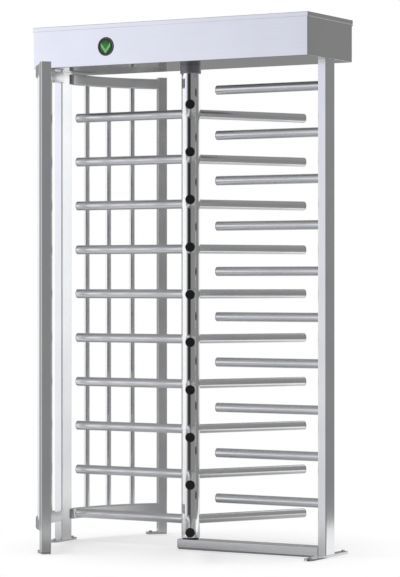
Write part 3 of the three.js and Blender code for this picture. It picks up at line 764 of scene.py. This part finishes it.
TRAY_FOLD = 0.0024
COVER_FOLD = 0.0022
HOLE_DEPTH = 0.01
SHAFT_HOLE_R = 0.030
KEY_HOLE_R = 0.0095
LIGHT_HOLE_R = 0.0365
LIGHT_HOLE_REACH = 0.3
HINGE_Y = 0.207
HINGE_R = 0.003
HINGE_ROD_R = 0.0022
KNUCKLES = 14
KNUCKLE_GAP = 0.0001
HINGE_PADS = 3
HINGE_PAD_HALF = 0.03
HINGE_PAD_LAP = 0.0005


def box_ring(x, y0, y1, z, by, corner):
    """Rounded rectangle around the header's outline, moved in by a distance."""
    middle = (y0 + y1) / 2
    outline = rounded(2 * (x - by), y1 - y0 - 2 * by, max(corner - by, EDGE), 4)
    return [(u, middle + v, z) for u, v in outline]


def folded_tray(x, y0, y1, z_shut, z_open, fold, corner=0.004, steps=5):
    """Thin sheet box, shut at one height and open at the other, with a rounded fold between its
    flat side and its walls."""
    up = 1 if z_open > z_shut else -1
    rings = []
    for k in range(steps + 1):
        a = math.radians(90 * k / steps)
        by, rise = fold * (1 - math.sin(a)), fold * (1 - math.cos(a))
        rings.append(box_ring(x, y0, y1, z_shut + up * rise, by, corner))
    rings.append(box_ring(x, y0, y1, z_open - up * FINE_EDGE, 0, corner))
    rings.append(box_ring(x, y0, y1, z_open, FINE_EDGE, corner))
    rings.append(box_ring(x, y0, y1, z_open, SHEET - FINE_EDGE, corner))
    rings.append(box_ring(x, y0, y1, z_open - up * FINE_EDGE, SHEET, corner))
    inner = max(fold - SHEET, EDGE)
    for k in range(steps, -1, -1):
        a = math.radians(90 * k / steps)
        by, rise = inner * (1 - math.sin(a)), inner * (1 - math.cos(a))
        rings.append(box_ring(x, y0, y1, z_shut + up * (SHEET + rise), SHEET + by, corner))
    return loft(rings)


def header_tray():
    rim = HEADER_TOP - SHEET - SEAT
    tray = folded_tray(BOX_X, BOX_FRONT, BOX_BACK, HEADER_BOTTOM, rim, TRAY_FOLD)
    under, over = HEADER_BOTTOM - HOLE_DEPTH, HEADER_BOTTOM + HOLE_DEPTH
    light = cylinder(LIGHT_HOLE_R, -LIGHT_HOLE_REACH, LIGHT_HOLE_REACH, sides=64)
    holes = [
        cylinder(SHAFT_HOLE_R, under, over),
        moved(cylinder(KEY_HOLE_R, under, over), shifted(KEY_X, KEY_Y, 0)),
        moved(light, shifted(INDICATOR_X, 0, INDICATOR_Z) @ turned(90, "X")),
    ]
    piece("header_tray", [tray], shaded_tray_steel, ["header_housing"], cuts=holes)


def header_hinge():
    """Knuckles along the lid's back edge, on three pads."""
    z = HEADER_TOP - LID_SKIRT - SEAT - HINGE_R
    length = 2 * BOX_X / KNUCKLES
    outline = [(0, -BOX_X)]
    for k in range(KNUCKLES):
        x0 = -BOX_X + k * length
        x1 = x0 + length
        outline += [
            (HINGE_ROD_R, x0 + KNUCKLE_GAP),
            (HINGE_R, x0 + EDGE),
            (HINGE_R, x1 - EDGE),
            (HINGE_ROD_R, x1 - KNUCKLE_GAP),
        ]
    outline.append((0, BOX_X))
    rod = moved(lathe(outline, sides=20), shifted(0, HINGE_Y, z) @ turned(90, "Y"))
    near = BOX_BACK - HINGE_PAD_LAP
    pads = []
    for i in range(HINGE_PADS):
        x = ((i + 0.5) / HINGE_PADS) * 2 * BOX_X - BOX_X
        x0, x1 = x - HINGE_PAD_HALF, x + HINGE_PAD_HALF
        pads.append(slab(x0, x1, near, HINGE_Y, z - LAP, z + LAP))
    piece("header_hinge", [rod] + pads, bolt_steel)


def header_cover():
    skirt = HEADER_TOP - LID_SKIRT
    cover = folded_tray(LID_X, LID_FRONT, LID_BACK, HEADER_TOP, skirt, COVER_FOLD)
    piece("header_cover", [cover], header_steel, ["header_lid"], body="lid")


# Status lights: heights are above the wall's outer face, depths behind it

LENS_R = 0.033
LENS_GAP = 0.0002
LENS_DEPTH = 0.006
DOME_LOW = 0.0004
DOME_RISE = 0.0018
BEZEL_LOW = 0.0003
BEZEL_RISE = 0.0026
BEZEL_BACK = 0.0002
BEZEL_DEPTH = 0.004
BEZEL_LIP = 0.0015
BEZEL_STEP = 0.0052
ARC_STEPS = 12
CHEVRON_FOOT = -0.031
CHEVRON_STROKE = 0.018
CHEVRON_HALF = 0.024
CHEVRON_RISE = 0.030
CHEVRON_LOW = 0.0012
CHEVRON_TOP = 0.0028
GLAND_R = 0.006
GLAND_NEAR = 0.0185
GLAND_FAR = 0.022
# Light's body: radius, depth
LIGHT_BODY = ((0, 0.019), (0.030, 0.019), (0.0355, 0.016), (0.0355, 0.0045), (0, 0.0045))


def indicator(name, side):
    """Round light: dark bezel, domed lens and a downward chevron."""
    wall = -BOX_FRONT if side < 0 else BOX_BACK
    at = shifted(INDICATOR_X, 0, INDICATOR_Z) @ turned(-90 * side, "X")
    middle, half = (INDICATOR_R + LENS_R) / 2, (INDICATOR_R - LENS_R) / 2
    bezel = [(LENS_R, wall - BEZEL_DEPTH)]
    for k in range(ARC_STEPS + 1):
        a = math.pi - math.pi * k / ARC_STEPS
        height = BEZEL_LOW + BEZEL_RISE * math.sin(a)
        bezel.append((middle + half * math.cos(a), wall + height))
    step = INDICATOR_R - BEZEL_STEP
    bezel += [
        (INDICATOR_R - BEZEL_LIP, wall + BEZEL_LOW),
        (step, wall + BEZEL_BACK),
        (step, wall - BEZEL_DEPTH),
    ]
    ring = lathe(bezel, ROUND_SIDES)
    piece(name + "_bezel", [ring], bezel_chrome, at=at)
    lens_r = LENS_R - LENS_GAP
    dome = [(0, wall - LENS_DEPTH), (lens_r, wall - LENS_DEPTH)]
    for k in range(ARC_STEPS):
        a = math.radians(90 * k / ARC_STEPS)
        dome.append((lens_r * math.cos(a), wall + DOME_LOW + DOME_RISE * math.sin(a)))
    dome.append((0, wall + DOME_LOW + DOME_RISE))
    lens = lathe(dome, ROUND_SIDES)
    piece(name + "_lens", [lens], lens_green, [name], at)
    stroke = [
        (0, CHEVRON_FOOT), (CHEVRON_HALF, CHEVRON_FOOT + CHEVRON_RISE),
        (CHEVRON_HALF, CHEVRON_FOOT + CHEVRON_RISE + CHEVRON_STROKE),
        (0, CHEVRON_FOOT + CHEVRON_STROKE),
    ]
    strokes = []
    for sx in (-1, 1):
        outline = [(sx * x, -side * y) for x, y in stroke]
        if sx == side:
            outline.reverse()
        strokes.append(prism(outline, wall + CHEVRON_LOW, wall + CHEVRON_TOP, FINE_EDGE))
    piece(name + "_chevron", strokes, chevron_green, at=at)
    body = lathe([(r, wall - depth) for r, depth in LIGHT_BODY], sides=64)
    gland = cylinder(GLAND_R, wall - GLAND_FAR, wall - GLAND_NEAR, sides=24)
    piece(name + "_body", [body, gland], black, at=at)


# Lid lock

CORE_R = 0.0066
CORE_EDGE = 0.0008
BARREL_R = 0.0088
BARREL_BACK = 0.004
ROSETTE_R = 0.012
ROSETTE_BORE = 0.0068
ROSETTE_T = 0.0012
KEYHOLE = (0.0096, 0.0016, 0.008)
KEYHOLE_LEAD = 0.002
KEYHOLE_EDGE = 0.0001
CAM_LONG = 0.024
CAM_SHORT = 0.005
CAM_HALF = 0.0045
CAM_CORNER = 0.004
CAM_T = 0.003
NUT_R = 0.0065
NUT_LOW = 0.0045
NUT_TOP = 0.0008


def key_lock():
    """Barrel with a keyhole, rosette under the sheet and cam above it."""
    low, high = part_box("key_lock")
    face, top, seat = low.z, high.z, HEADER_BOTTOM - SEAT
    at = shifted(KEY_X, KEY_Y, 0)
    outline = [
        (0, face), (CORE_R - CORE_EDGE, face), (CORE_R, face + CORE_EDGE), (CORE_R, seat + LAP),
        (BARREL_R, seat + LAP), (BARREL_R, top - BARREL_BACK), (0, top - BARREL_BACK),
    ]
    keyhole = block(0, 0, face - KEYHOLE_LEAD, KEYHOLE, FINE_EDGE, KEYHOLE_EDGE)
    barrel = lathe(outline, sides=48)
    piece("key_barrel", [barrel], lock_nickel, ["key_lock"], at, body="key", cuts=[keyhole])
    rosette = [
        (ROSETTE_BORE, seat - ROSETTE_T), (ROSETTE_R - EDGE, seat - ROSETTE_T),
        (ROSETTE_R, seat - ROSETTE_T + FINE_EDGE), (ROSETTE_R, seat), (ROSETTE_BORE, seat),
    ]
    washer = lathe(rosette, sides=48)
    finish = (header_steel[0], "zinc_steel")
    piece("key_washer", [washer], finish, at=at, body="key")
    cam = slab(-CAM_LONG, CAM_SHORT, -CAM_HALF, CAM_HALF, top - CAM_T, top, CAM_CORNER)
    nut = prism(hexagon(NUT_R), top - NUT_LOW, top - NUT_TOP)
    piece("key_cam", [cam, nut], bolt_steel, at=at, body="key")


# Head mechanism

DECK_LOW = 2.127
DECK_TOP = 2.135
DECK_CORNER = 0.012
DECK_EDGE = 0.0007
DECK_HOLE_R = 0.024
LEG_X = 0.167
LEG_Y = 0.147
LEG_R = 0.010
PAWL_X = 0.121
PAWL_Y = -0.090
STUD_R = 0.008
STUD_FOOT_R = 0.012
SHOULDER_EDGE = 0.0005
GROOVE_R = 0.0068
GROOVE_LOW = 0.003
GROOVE_TOP = 0.0018
FLANGE_TOP = 2.1433
FLANGE_BOLT_XY = 0.0297
DAMPER_Y = 0.1125
DAMPER_TOP = 2.1573
DAMPER_BOLT_CIRCLE = 0.028
# Heads of the screws: radius, height
DECK_BOLT = (0.0065, 0.0048)
FLANGE_BOLT = (0.005, 0.0042)
DAMPER_BOLT = (0.0035, 0.003)
BOARD_SCREW = (0.0028, 0.0026)
# Outlines of the turned parts: radius, height over the floor
BEARING_OUTLINE = (
    (0.0205, 2.1353), (0.0485, 2.1353), (0.050, 2.1368), (0.050, 2.1425), (0.0492, FLANGE_TOP),
    (0.036, FLANGE_TOP), (0.034, 2.1453), (0.034, 2.1563), (0.033, 2.1573), (0.0265, 2.1573),
    (0.0262, 2.1563), (0.0212, 2.1563), (0.0205, 2.1568),
)
DAMPER_OUTLINE = (
    (0, 2.1353), (0.0345, 2.1353), (0.036, 2.1368), (0.036, 2.1393), (0.0350, 2.1398),
    (0.0350, 2.1448), (0.036, 2.1453), (0.036, 2.1558), (0.0345, DAMPER_TOP),
    (0.013, DAMPER_TOP), (0.012, 2.1583), (0.012, 2.1761), (0.0115, 2.1766), (0.0067, 2.1766),
    (0.0065, 2.1466), (0, 2.1466),
)
SPIGOT_R = 0.0367
SHAFT_R = 0.020
SHAFT_EDGE = 0.001
THRUST_R = 0.040
THRUST_LOW = 2.0933
THRUST_TOP = 2.0963
CLAMP_R = 0.030
CLAMP_LOW = 2.1576
CLAMP_TOP = 2.1633
CIRCLIP_R = 0.0188
CIRCLIP_LOW = 0.006
CIRCLIP_TOP = 0.0045
CENTRE_R = 0.006
CENTRE_DEPTH = 0.002


def mechanism_plate():
    low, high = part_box("mechanism_plate")
    section = rounded(high.x - low.x, high.y - low.y, DECK_CORNER)
    plate = prism(section, DECK_LOW, DECK_TOP, DECK_EDGE)
    hole = cylinder(DECK_HOLE_R, DECK_LOW - HOLE_DEPTH, DECK_TOP + HOLE_DEPTH, sides=64)
    piece("mechanism_deck", [plate], zinc_steel, ["mechanism_plate"], cuts=[hole])
    posts, bolts = [], []
    for sx in (-1, 1):
        for sy in (-1, 1):
            x, y = sx * LEG_X, sy * LEG_Y
            posts.append(moved(cylinder(LEG_R, low.z, DECK_LOW + LAP, sides=32), shifted(x, y, 0)))
            bolts += hex_head(x, y, DECK_TOP, *DECK_BOLT)
    top, seat = high.z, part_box("lock_wheel")[0].z - SEAT
    stud = [
        (0, DECK_TOP - LAP), (STUD_FOOT_R, DECK_TOP - LAP), (STUD_FOOT_R, seat - SHOULDER_EDGE),
        (STUD_FOOT_R - SHOULDER_EDGE, seat), (STUD_R, seat), (STUD_R, top - GROOVE_LOW),
        (GROOVE_R, top - GROOVE_LOW), (GROOVE_R, top - GROOVE_TOP), (STUD_R, top - GROOVE_TOP),
        (STUD_R, top - EDGE), (STUD_R - EDGE, top), (0, top),
    ]
    for sx in (-1, 1):
        posts.append(moved(lathe(stud, sides=40), shifted(sx * PAWL_X, PAWL_Y, 0)))
    piece("mechanism_studs", posts, gear_steel)
    for sx, sy in ((1, 1), (1, -1), (-1, 1), (-1, -1)):
        x, y = sx * FLANGE_BOLT_XY, sy * FLANGE_BOLT_XY
        bolts += hex_head(x, y, FLANGE_TOP, *FLANGE_BOLT)
    for k in range(4):
        a = math.radians(45 + 90 * k)
        x, y = DAMPER_BOLT_CIRCLE * math.cos(a), DAMPER_BOLT_CIRCLE * math.sin(a)
        bolts += hex_head(x, DAMPER_Y + y, DAMPER_TOP, *DAMPER_BOLT)
    piece("mechanism_bolts", bolts, bolt_steel)


def head_shaft():
    low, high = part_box("head_shaft")
    top = high.z
    outline = [
        (0, low.z), (SPIGOT_R - SHAFT_EDGE, low.z), (SPIGOT_R, low.z + SHAFT_EDGE),
        (SPIGOT_R, THRUST_LOW), (THRUST_R, THRUST_LOW), (THRUST_R, THRUST_TOP - SHOULDER_EDGE),
        (THRUST_R - SHOULDER_EDGE, THRUST_TOP), (SHAFT_R, THRUST_TOP), (SHAFT_R, CLAMP_LOW),
        (CLAMP_R, CLAMP_LOW), (CLAMP_R, CLAMP_TOP - SHOULDER_EDGE),
        (CLAMP_R - SHOULDER_EDGE, CLAMP_TOP), (SHAFT_R, CLAMP_TOP), (SHAFT_R, top - CIRCLIP_LOW),
        (CIRCLIP_R, top - CIRCLIP_LOW), (CIRCLIP_R, top - CIRCLIP_TOP),
        (SHAFT_R, top - CIRCLIP_TOP), (SHAFT_R, top - SHAFT_EDGE), (SHAFT_R - SHAFT_EDGE, top),
        (CENTRE_R, top), (CENTRE_R - CENTRE_DEPTH, top - CENTRE_DEPTH),
        (0, top - 2 * CENTRE_DEPTH),
    ]
    shaft = lathe(outline, sides=80)
    piece("head_shaft_turned", [shaft], gear_steel, ["head_shaft"], body="rotor")


# Springs and magnets of the pawls

COIL_R = 0.0145
WIRE_R = 0.0012
CURLS = 4
CURL_PITCH = 0.004
CURL_STEPS = 48
WIRE_SIDES = 10
MAGNET_R = 0.014
MAGNET_L = 0.040
YOKE_T = 0.003
YOKE_BORE = 0.004
WINDING_INSET = 0.0015
CORE_ROD_R = 0.0045
CORE_ROD_INSET = 0.0005
MAGNET_FOOT_L = 0.028
MAGNET_FOOT_W = 0.014
MAGNET_FOOT_TOP = 0.011
MAGNET_FOOT_CORNER = 0.0015


def coil_spring(name, side):
    """Return spring round a pawl's stud."""
    base = DECK_TOP + SEAT + WIRE_R
    steps = CURL_STEPS * CURLS
    rings = []
    for k in range(steps + 1):
        t = k / steps
        a = 2 * math.pi * CURLS * t
        out = Vector((math.cos(a), side * math.sin(a), 0))
        centre = COIL_R * out + Vector((0, 0, base + CURL_PITCH * CURLS * t))
        ring = []
        for j in range(WIRE_SIDES):
            b = 2 * math.pi * j / WIRE_SIDES
            ring.append(centre + WIRE_R * (math.cos(b) * out + math.sin(b) * Vector((0, 0, 1))))
        rings.append(ring)
    coil = moved(loft(rings), shifted(side * PAWL_X, PAWL_Y, 0))
    piece(name + "_coil", [coil], spring_steel, [name], sharp=60)


def magnet(name, side):
    """Pull magnet: wound coil between two end plates on a foot."""
    low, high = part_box(name)
    y, z = (low.y + high.y) / 2, high.z - MAGNET_R
    near = low.x if side > 0 else -high.x
    far = near + MAGNET_L
    at = shifted(0, y, z) @ turned(0 if side > 0 else 180, "Z") @ turned(90, "Y")
    winding = [
        (YOKE_BORE, near + YOKE_T), (MAGNET_R - WINDING_INSET, near + YOKE_T),
        (MAGNET_R - WINDING_INSET, far - YOKE_T), (YOKE_BORE, far - YOKE_T),
    ]
    piece(name + "_winding", [lathe(winding, sides=48)], winding_tape, [name], at)
    end_plate = [
        (YOKE_BORE, 0), (MAGNET_R - FINE_EDGE, 0), (MAGNET_R, FINE_EDGE),
        (MAGNET_R, YOKE_T - FINE_EDGE), (MAGNET_R - FINE_EDGE, YOKE_T), (YOKE_BORE, YOKE_T),
    ]
    plates = [moved(lathe(end_plate, sides=48), shifted(0, 0, x)) for x in (near, far - YOKE_T)]
    core = cylinder(CORE_ROD_R, near + CORE_ROD_INSET, far - CORE_ROD_INSET, sides=32)
    piece(name + "_yoke", plates + [core], gear_steel, at=at)
    middle = side * (near + far) / 2
    size = (MAGNET_FOOT_L, MAGNET_FOOT_W, z - MAGNET_FOOT_TOP - low.z)
    foot = block(middle, y, low.z, size, MAGNET_FOOT_CORNER)
    piece(name + "_foot", [foot], zinc_steel)


# Control board and power supply

BOARD_Z = 2.1123
BOARD_T = 0.002
BOARD_CORNER = 0.003
BOARD_EDGE = 0.0002
BOARD_POST_X = 0.106
BOARD_POST_Y = 0.066
BOARD_POST_R = 0.004
BOARD_POST_EDGE = 0.0003
# Sizes of the parts on the board
RELAY = (0.018, 0.018, 0.018)
CHIP = (0.016, 0.008, 0.0036)
TERMINAL = (0.0106, 0.010, 0.0125)
# Places of the parts on the board, from its middle
RELAY_ROW = 0.230
RELAY_COUNT = 4
RELAY_CORNER = 0.001
CHIP_Y = (-0.026, 0.026)
CHIP_LIFT = 0.0006
CAPACITOR_X = (-0.056, 0.0, 0.056)
CAPACITOR_Y = (-0.012, 0.014)
TERMINAL_Y = (-0.052, 0.052)
TERMINAL_PITCH = 0.011
TERMINAL_COUNT = 16
CLAMP_SCREW_R = 0.0028
CLAMP_SCREW_TOP = 0.0135
# Capacitor's outline: radius, height
CAPACITOR = (
    (0, 0), (0.005, 0), (0.005, 0.0015), (0.0047, 0.002), (0.005, 0.0025), (0.005, 0.0118),
    (0.0045, 0.0124), (0, 0.0124),
)
FIN_COUNT = 9
FIN_H = 0.005
FIN_INSET = 0.001
FIN_CORNER = 0.0015
CASE_CORNER = 0.003
CASE_EDGE = 0.0008


def control_board():
    low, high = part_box("control_board")
    cx = (low.x + high.x) / 2
    top = BOARD_Z + BOARD_T
    section = rounded(high.x - low.x, high.y - low.y, BOARD_CORNER)
    board = moved(prism(section, BOARD_Z, top, BOARD_EDGE), shifted(cx, 0, 0))
    piece("control_board_panel", [board], board_green, ["control_board"])
    spacer = prism(hexagon(BOARD_POST_R), low.z, BOARD_Z, BOARD_POST_EDGE)
    posts, screws = [], []
    for sx in (-1, 1):
        for sy in (-1, 1):
            x, y = cx + sx * BOARD_POST_X, sy * BOARD_POST_Y
            posts.append(moved(spacer, shifted(x, y, 0)))
            screws += hex_head(x, y, top, *BOARD_SCREW)
    piece("control_board_posts", posts + screws, bolt_steel)
    relays, chips, caps, terminals, clamps = [], [], [], [], []
    for i in range(RELAY_COUNT):
        x = cx + ((i + 0.5) / RELAY_COUNT - 0.5) * RELAY_ROW
        relays.append(block(x, 0, top, RELAY, RELAY_CORNER, EDGE))
        for y in CHIP_Y:
            chips.append(block(x, y, top + CHIP_LIFT, CHIP, FINE_EDGE))
    for x in CAPACITOR_X:
        for y in CAPACITOR_Y:
            caps.append(moved(lathe(CAPACITOR, sides=32), shifted(cx + x, y, top)))
    for y in TERMINAL_Y:
        for k in range(TERMINAL_COUNT):
            x = cx + TERMINAL_PITCH * (k + 0.5 - TERMINAL_COUNT / 2)
            terminals.append(block(x, y, top, TERMINAL, EDGE))
            screw = cylinder(CLAMP_SCREW_R, 0, CLAMP_SCREW_TOP, sides=20)
            clamps.append(moved(screw, shifted(x, y, top)))
    piece("control_board_relays", relays, relay_blue)
    piece("control_board_chips", chips, black)
    piece("control_board_capacitors", caps, winding_tape)
    piece("control_board_terminals", terminals, terminal_green)
    piece("control_board_clamps", clamps, bolt_steel)


def power_supply():
    """Case with a row of cooling fins on top."""
    low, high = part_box("power_supply")
    top = high.z - FIN_H
    case = slab(low.x, high.x, low.y, high.y, low.z, top, CASE_CORNER, CASE_EDGE)
    pitch = (high.x - low.x) / FIN_COUNT
    size = (pitch / 2, high.y - low.y - 2 * FIN_INSET, FIN_H + LAP)
    fins = []
    for i in range(FIN_COUNT):
        x = low.x + (i + 0.5) * pitch
        fins.append(block(x, (low.y + high.y) / 2, top - LAP, size, FIN_CORNER))
    piece("power_supply_case", [case] + fins, cast_grey, ["power_supply"])


header_tray()
header_hinge()
header_cover()
indicator("front_indicator", -1)
indicator("rear_indicator", 1)
key_lock()
mechanism_plate()
bearing = lathe(BEARING_OUTLINE, sides=80)
piece("upper_bearing_flange", [bearing], cast_grey, ["upper_bearing"])
head_shaft()
damper = lathe(DAMPER_OUTLINE, sides=72)
piece("rotary_damper_case", [damper], cast_grey, ["rotary_damper"], shifted(0, DAMPER_Y, 0))
for side, word in ((-1, "left"), (1, "right")):
    coil_spring(word + "_pawl_spring", side)
    magnet(word + "_magnet", side)
control_board()
power_supply()


# Solids that keep their shape get their finish and small softened edges

def finish_node(name, finish):
    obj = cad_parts[name]
    slots = obj.data.materials
    slots.clear()
    slots.append(finish[0])
    soft = obj.modifiers.new("soft_edges", "BEVEL")
    soft.width = FINE_EDGE
    soft.segments = 2
    soft.limit_method = "ANGLE"
    soft.angle_limit = math.radians(30)
    soft.harden_normals = True


for name in ("lock_wheel", "damper_gear", "damper_pinion"):
    finish_node(name, gear_steel)
for name in ("left_pawl", "right_pawl"):
    finish_node(name, zinc_steel)
finish_node("floor_bearing", black)


# Studio: pale floor, glowing cards that only the metal sees, and a world that is white to the eye

# World's brightness in reflections, by compass angle in degrees from +X
AROUND = (
    (180, 1.10), (195, 1.20), (232, 1.20), (236, 1.08), (239, 0.99), (242.5, 0.86), (254, 0.52),
    (265, 0.05), (280, 0.02), (296, 0.02), (306, 0.25), (465, 0.25), (473, 0.33), (486, 0.33),
    (498, 0.28), (510, 0.38), (528, 0.60), (539.9, 1.10),
)
# Share of that brightness by rise, the Z of the direction. The rest of the world is plain grey
SHARE_BY_RISE = (
    (-0.90, 0.08), (-0.70, 0.22), (-0.43, 0.38), (-0.25, 0.60), (-0.10, 0.78), (-0.05, 0.96),
    (0.0, 1.0), (0.08, 0.97), (0.10, 0.93), (0.25, 0.68), (0.43, 0.34), (0.70, 0.09),
    (0.90, 0.0),
)
PLAIN_GREY = (0.29, 0.29, 0.29, 1)
WHITE = (1, 1, 1, 1)
# Cool tint by rise, from straight down at 0 to straight up at 1, and the angles that have it
COOL_BY_RISE = (
    (0.40, (1.0, 1.0, 1.06)), (0.48, (1.0, 1.0, 1.03)), (0.51, (1.0, 1.0, 1.04)),
    (0.54, (0.985, 1.0, 1.15)), (0.60, (0.985, 1.0, 1.12)), (0.68, (1.0, 1.0, 1.0)),
)
COOL_AROUND = ((215, 0), (228, 1), (248, 1), (262, 0))
SOFT_LIGHT = (0.9, 0.9, 0.9, 1)
SOFT_STRENGTH = 0.9
FLOOR_R = 5.0
FLOOR_COLOUR = (0.86, 0.86, 0.87, 1)
FLOOR_GLOW = 0.28
FLOOR_FADE_FROM = 0.55
FLOOR_FADE_TO = 1.05
CARD_RIGHT = 1.33
CARD_BACK = 2.5
CARD_TOP = 3.4
BACK_CARD_LEFT = -0.10
# Cards on the floor: name, left, right, front, back
FLOOR_CARDS = (
    ("floor_card_rear", -0.66, CARD_RIGHT, -0.02, CARD_BACK),
    ("floor_card_front_1", -0.43, 0.62, -0.48, -0.02),
    ("floor_card_front_2", 0.08, 0.62, -1.3, -0.48),
    ("floor_card_front_3", -1.5, -0.5, -1.3, -0.02),
)
GLOW_SPAN = 2.5
GLOW_BY_HEIGHT = ((0.0, 0.82), (0.5, 0.97), (1.06, 1.11), (2.3, 1.22))
GLOW_BY_REACH = ((0.0, 0.20), (0.25, 0.32), (0.5, 0.42), (0.9, 0.58), (1.6, 0.77), (2.5, 0.82))
WHITE_BEYOND_X = 0.66
LAMP_AT = Vector((-3.0, -3.0, 5.0))
LAMP_AIM = Vector((0, 0, 1.0))
LAMP_SIZE = 3.0
LAMP_POWER = 60
CAMERA_AT = (5.3932, -9.2599, 1.162)
CAMERA_AIM = Vector((-0.5, 0.8660, 0))
SENSOR = 36
FOCAL_PX = 2461.7
SHIFT_PX = -6.71
PICTURE_PX = 577


def grey_stops(pairs, low, high):
    return [((at - low) / (high - low), (value, value, value)) for at, value in pairs]


def mix_shaders(tree, factor, first, second):
    return node(tree, "ShaderNodeMixShader", {0: factor, 1: first, 2: second}).outputs[0]


def studio_world():
    world = bpy.data.worlds.new("studio")
    scene.world = world
    world.use_nodes = True
    tree = world.node_tree
    tree.nodes.clear()
    way = node(tree, "ShaderNodeTexCoord").outputs["Generated"]
    parts = node(tree, "ShaderNodeSeparateXYZ", {"Vector": way}).outputs
    turn = node(tree, "ShaderNodeMath", {0: parts["Y"], 1: parts["X"]}, operation="ARCTAN2")
    compass = between(tree, turn.outputs[0], -math.pi, math.pi, 0, 1)
    rise = between(tree, parts["Z"], -1, 1, 0, 1)
    around = stepped(tree, compass, grey_stops(AROUND, 180, 540))
    share = stepped(tree, rise, grey_stops(SHARE_BY_RISE, -1, 1))
    band = mix(tree, share, PLAIN_GREY, around)
    side = stepped(tree, compass, grey_stops(COOL_AROUND, 180, 540))
    tint = mix(tree, side, WHITE, stepped(tree, rise, COOL_BY_RISE))
    colour = mix(tree, 1.0, band, tint, "MULTIPLY")
    path = node(tree, "ShaderNodeLightPath").outputs
    shine = node(tree, "ShaderNodeBackground", {"Color": colour, "Strength": 1.0})
    soft = node(tree, "ShaderNodeBackground", {"Color": SOFT_LIGHT, "Strength": SOFT_STRENGTH})
    white = node(tree, "ShaderNodeBackground", {"Color": WHITE, "Strength": 1.0})
    lit = mix_shaders(tree, path["Is Glossy Ray"], soft.outputs[0], shine.outputs[0])
    seen = mix_shaders(tree, path["Is Camera Ray"], lit, white.outputs[0])
    node(tree, "ShaderNodeOutputWorld", {"Surface": seen})


def studio_floor():
    """Pale disc that fades to white away from the object."""
    bpy.ops.mesh.primitive_circle_add(vertices=96, radius=FLOOR_R, fill_type="NGON")
    floor = bpy.context.active_object
    floor.name = "floor"
    material, tree, shader, where = blank("pale_floor")
    tree.nodes.remove(shader)
    path = node(tree, "ShaderNodeLightPath").outputs
    matt = node(tree, "ShaderNodeBsdfDiffuse", {"Color": FLOOR_COLOUR}).outputs[0]
    glow = node(tree, "ShaderNodeEmission", {"Color": WHITE, "Strength": FLOOR_GLOW})
    lifted = node(tree, "ShaderNodeAddShader", {0: matt, 1: glow.outputs[0]}).outputs[0]
    edge = between(tree, distance(tree, where), FLOOR_FADE_FROM, FLOOR_FADE_TO, 0, 1)
    white = node(tree, "ShaderNodeEmission", {"Color": WHITE, "Strength": 1.0}).outputs[0]
    seen = mix_shaders(tree, edge, lifted, white)
    final = mix_shaders(tree, path["Is Camera Ray"], matt, seen)
    tree.links.new(final, tree.nodes["Material Output"].inputs["Surface"])
    floor.data.materials.append(material)
    floor.visible_glossy = False


def card(name, corners, strength):
    """Glowing card that only the metal sees. Its strength comes from the place on it."""
    mesh = bpy.data.meshes.new(name)
    mesh.from_pydata(corners, [], [(0, 1, 2, 3)])
    obj = bpy.data.objects.new(name, mesh)
    scene.collection.objects.link(obj)
    material, tree, shader, where = blank(name)
    tree.nodes.remove(shader)
    glow = node(tree, "ShaderNodeEmission", {"Color": strength(tree, where), "Strength": 1.0})
    tree.links.new(glow.outputs[0], tree.nodes["Material Output"].inputs["Surface"])
    mesh.materials.append(material)
    obj.visible_camera = False
    obj.visible_diffuse = False
    obj.visible_shadow = False
    obj.visible_transmission = False


def glow_by(tree, place, stops):
    share = between(tree, place, 0, GLOW_SPAN, 0, 1)
    return stepped(tree, share, grey_stops(stops, 0, GLOW_SPAN))


def back_glow(tree, where):
    """Brighter higher up."""
    height = node(tree, "ShaderNodeSeparateXYZ", {"Vector": where}).outputs["Z"]
    return glow_by(tree, height, GLOW_BY_HEIGHT)


def floor_glow(tree, where):
    """Brighter away from the object, and white beside the right post."""
    pale = glow_by(tree, distance(tree, where), GLOW_BY_REACH)
    x = node(tree, "ShaderNodeSeparateXYZ", {"Vector": where}).outputs["X"]
    right = node(tree, "ShaderNodeMath", {0: x, 1: WHITE_BEYOND_X}, operation="GREATER_THAN")
    return mix(tree, right.outputs[0], pale, WHITE)


def cards():
    x0, x1, y = BACK_CARD_LEFT, CARD_RIGHT, CARD_BACK
    corners = [(x0, y, 0), (x1, y, 0), (x1, y, CARD_TOP), (x0, y, CARD_TOP)]
    card("back_card", corners, back_glow)
    for name, x0, x1, y0, y1 in FLOOR_CARDS:
        card(name, [(x0, y0, 0), (x1, y0, 0), (x1, y1, 0), (x0, y1, 0)], floor_glow)


def key_light():
    data = bpy.data.lights.new("key", "AREA")
    data.shape = "RECTANGLE"
    data.size = LAMP_SIZE
    data.size_y = LAMP_SIZE
    data.energy = LAMP_POWER
    lamp = bpy.data.objects.new("key", data)
    scene.collection.objects.link(lamp)
    lamp.location = LAMP_AT
    lamp.rotation_euler = (LAMP_AIM - LAMP_AT).to_track_quat("-Z", "Y").to_euler()
    lamp.visible_glossy = False


def camera():
    data = bpy.data.cameras.new("camera")
    cam = bpy.data.objects.new("camera", data)
    scene.collection.objects.link(cam)
    cam.location = CAMERA_AT
    cam.rotation_euler = CAMERA_AIM.to_track_quat("-Z", "Y").to_euler()
    data.sensor_width = SENSOR
    data.lens = FOCAL_PX / PICTURE_PX * SENSOR
    data.shift_y = SHIFT_PX / PICTURE_PX
    data.clip_end = 100
    scene.camera = cam


studio_world()
studio_floor()
cards()
key_light()
camera()
scene.view_settings.view_transform = "Standard"
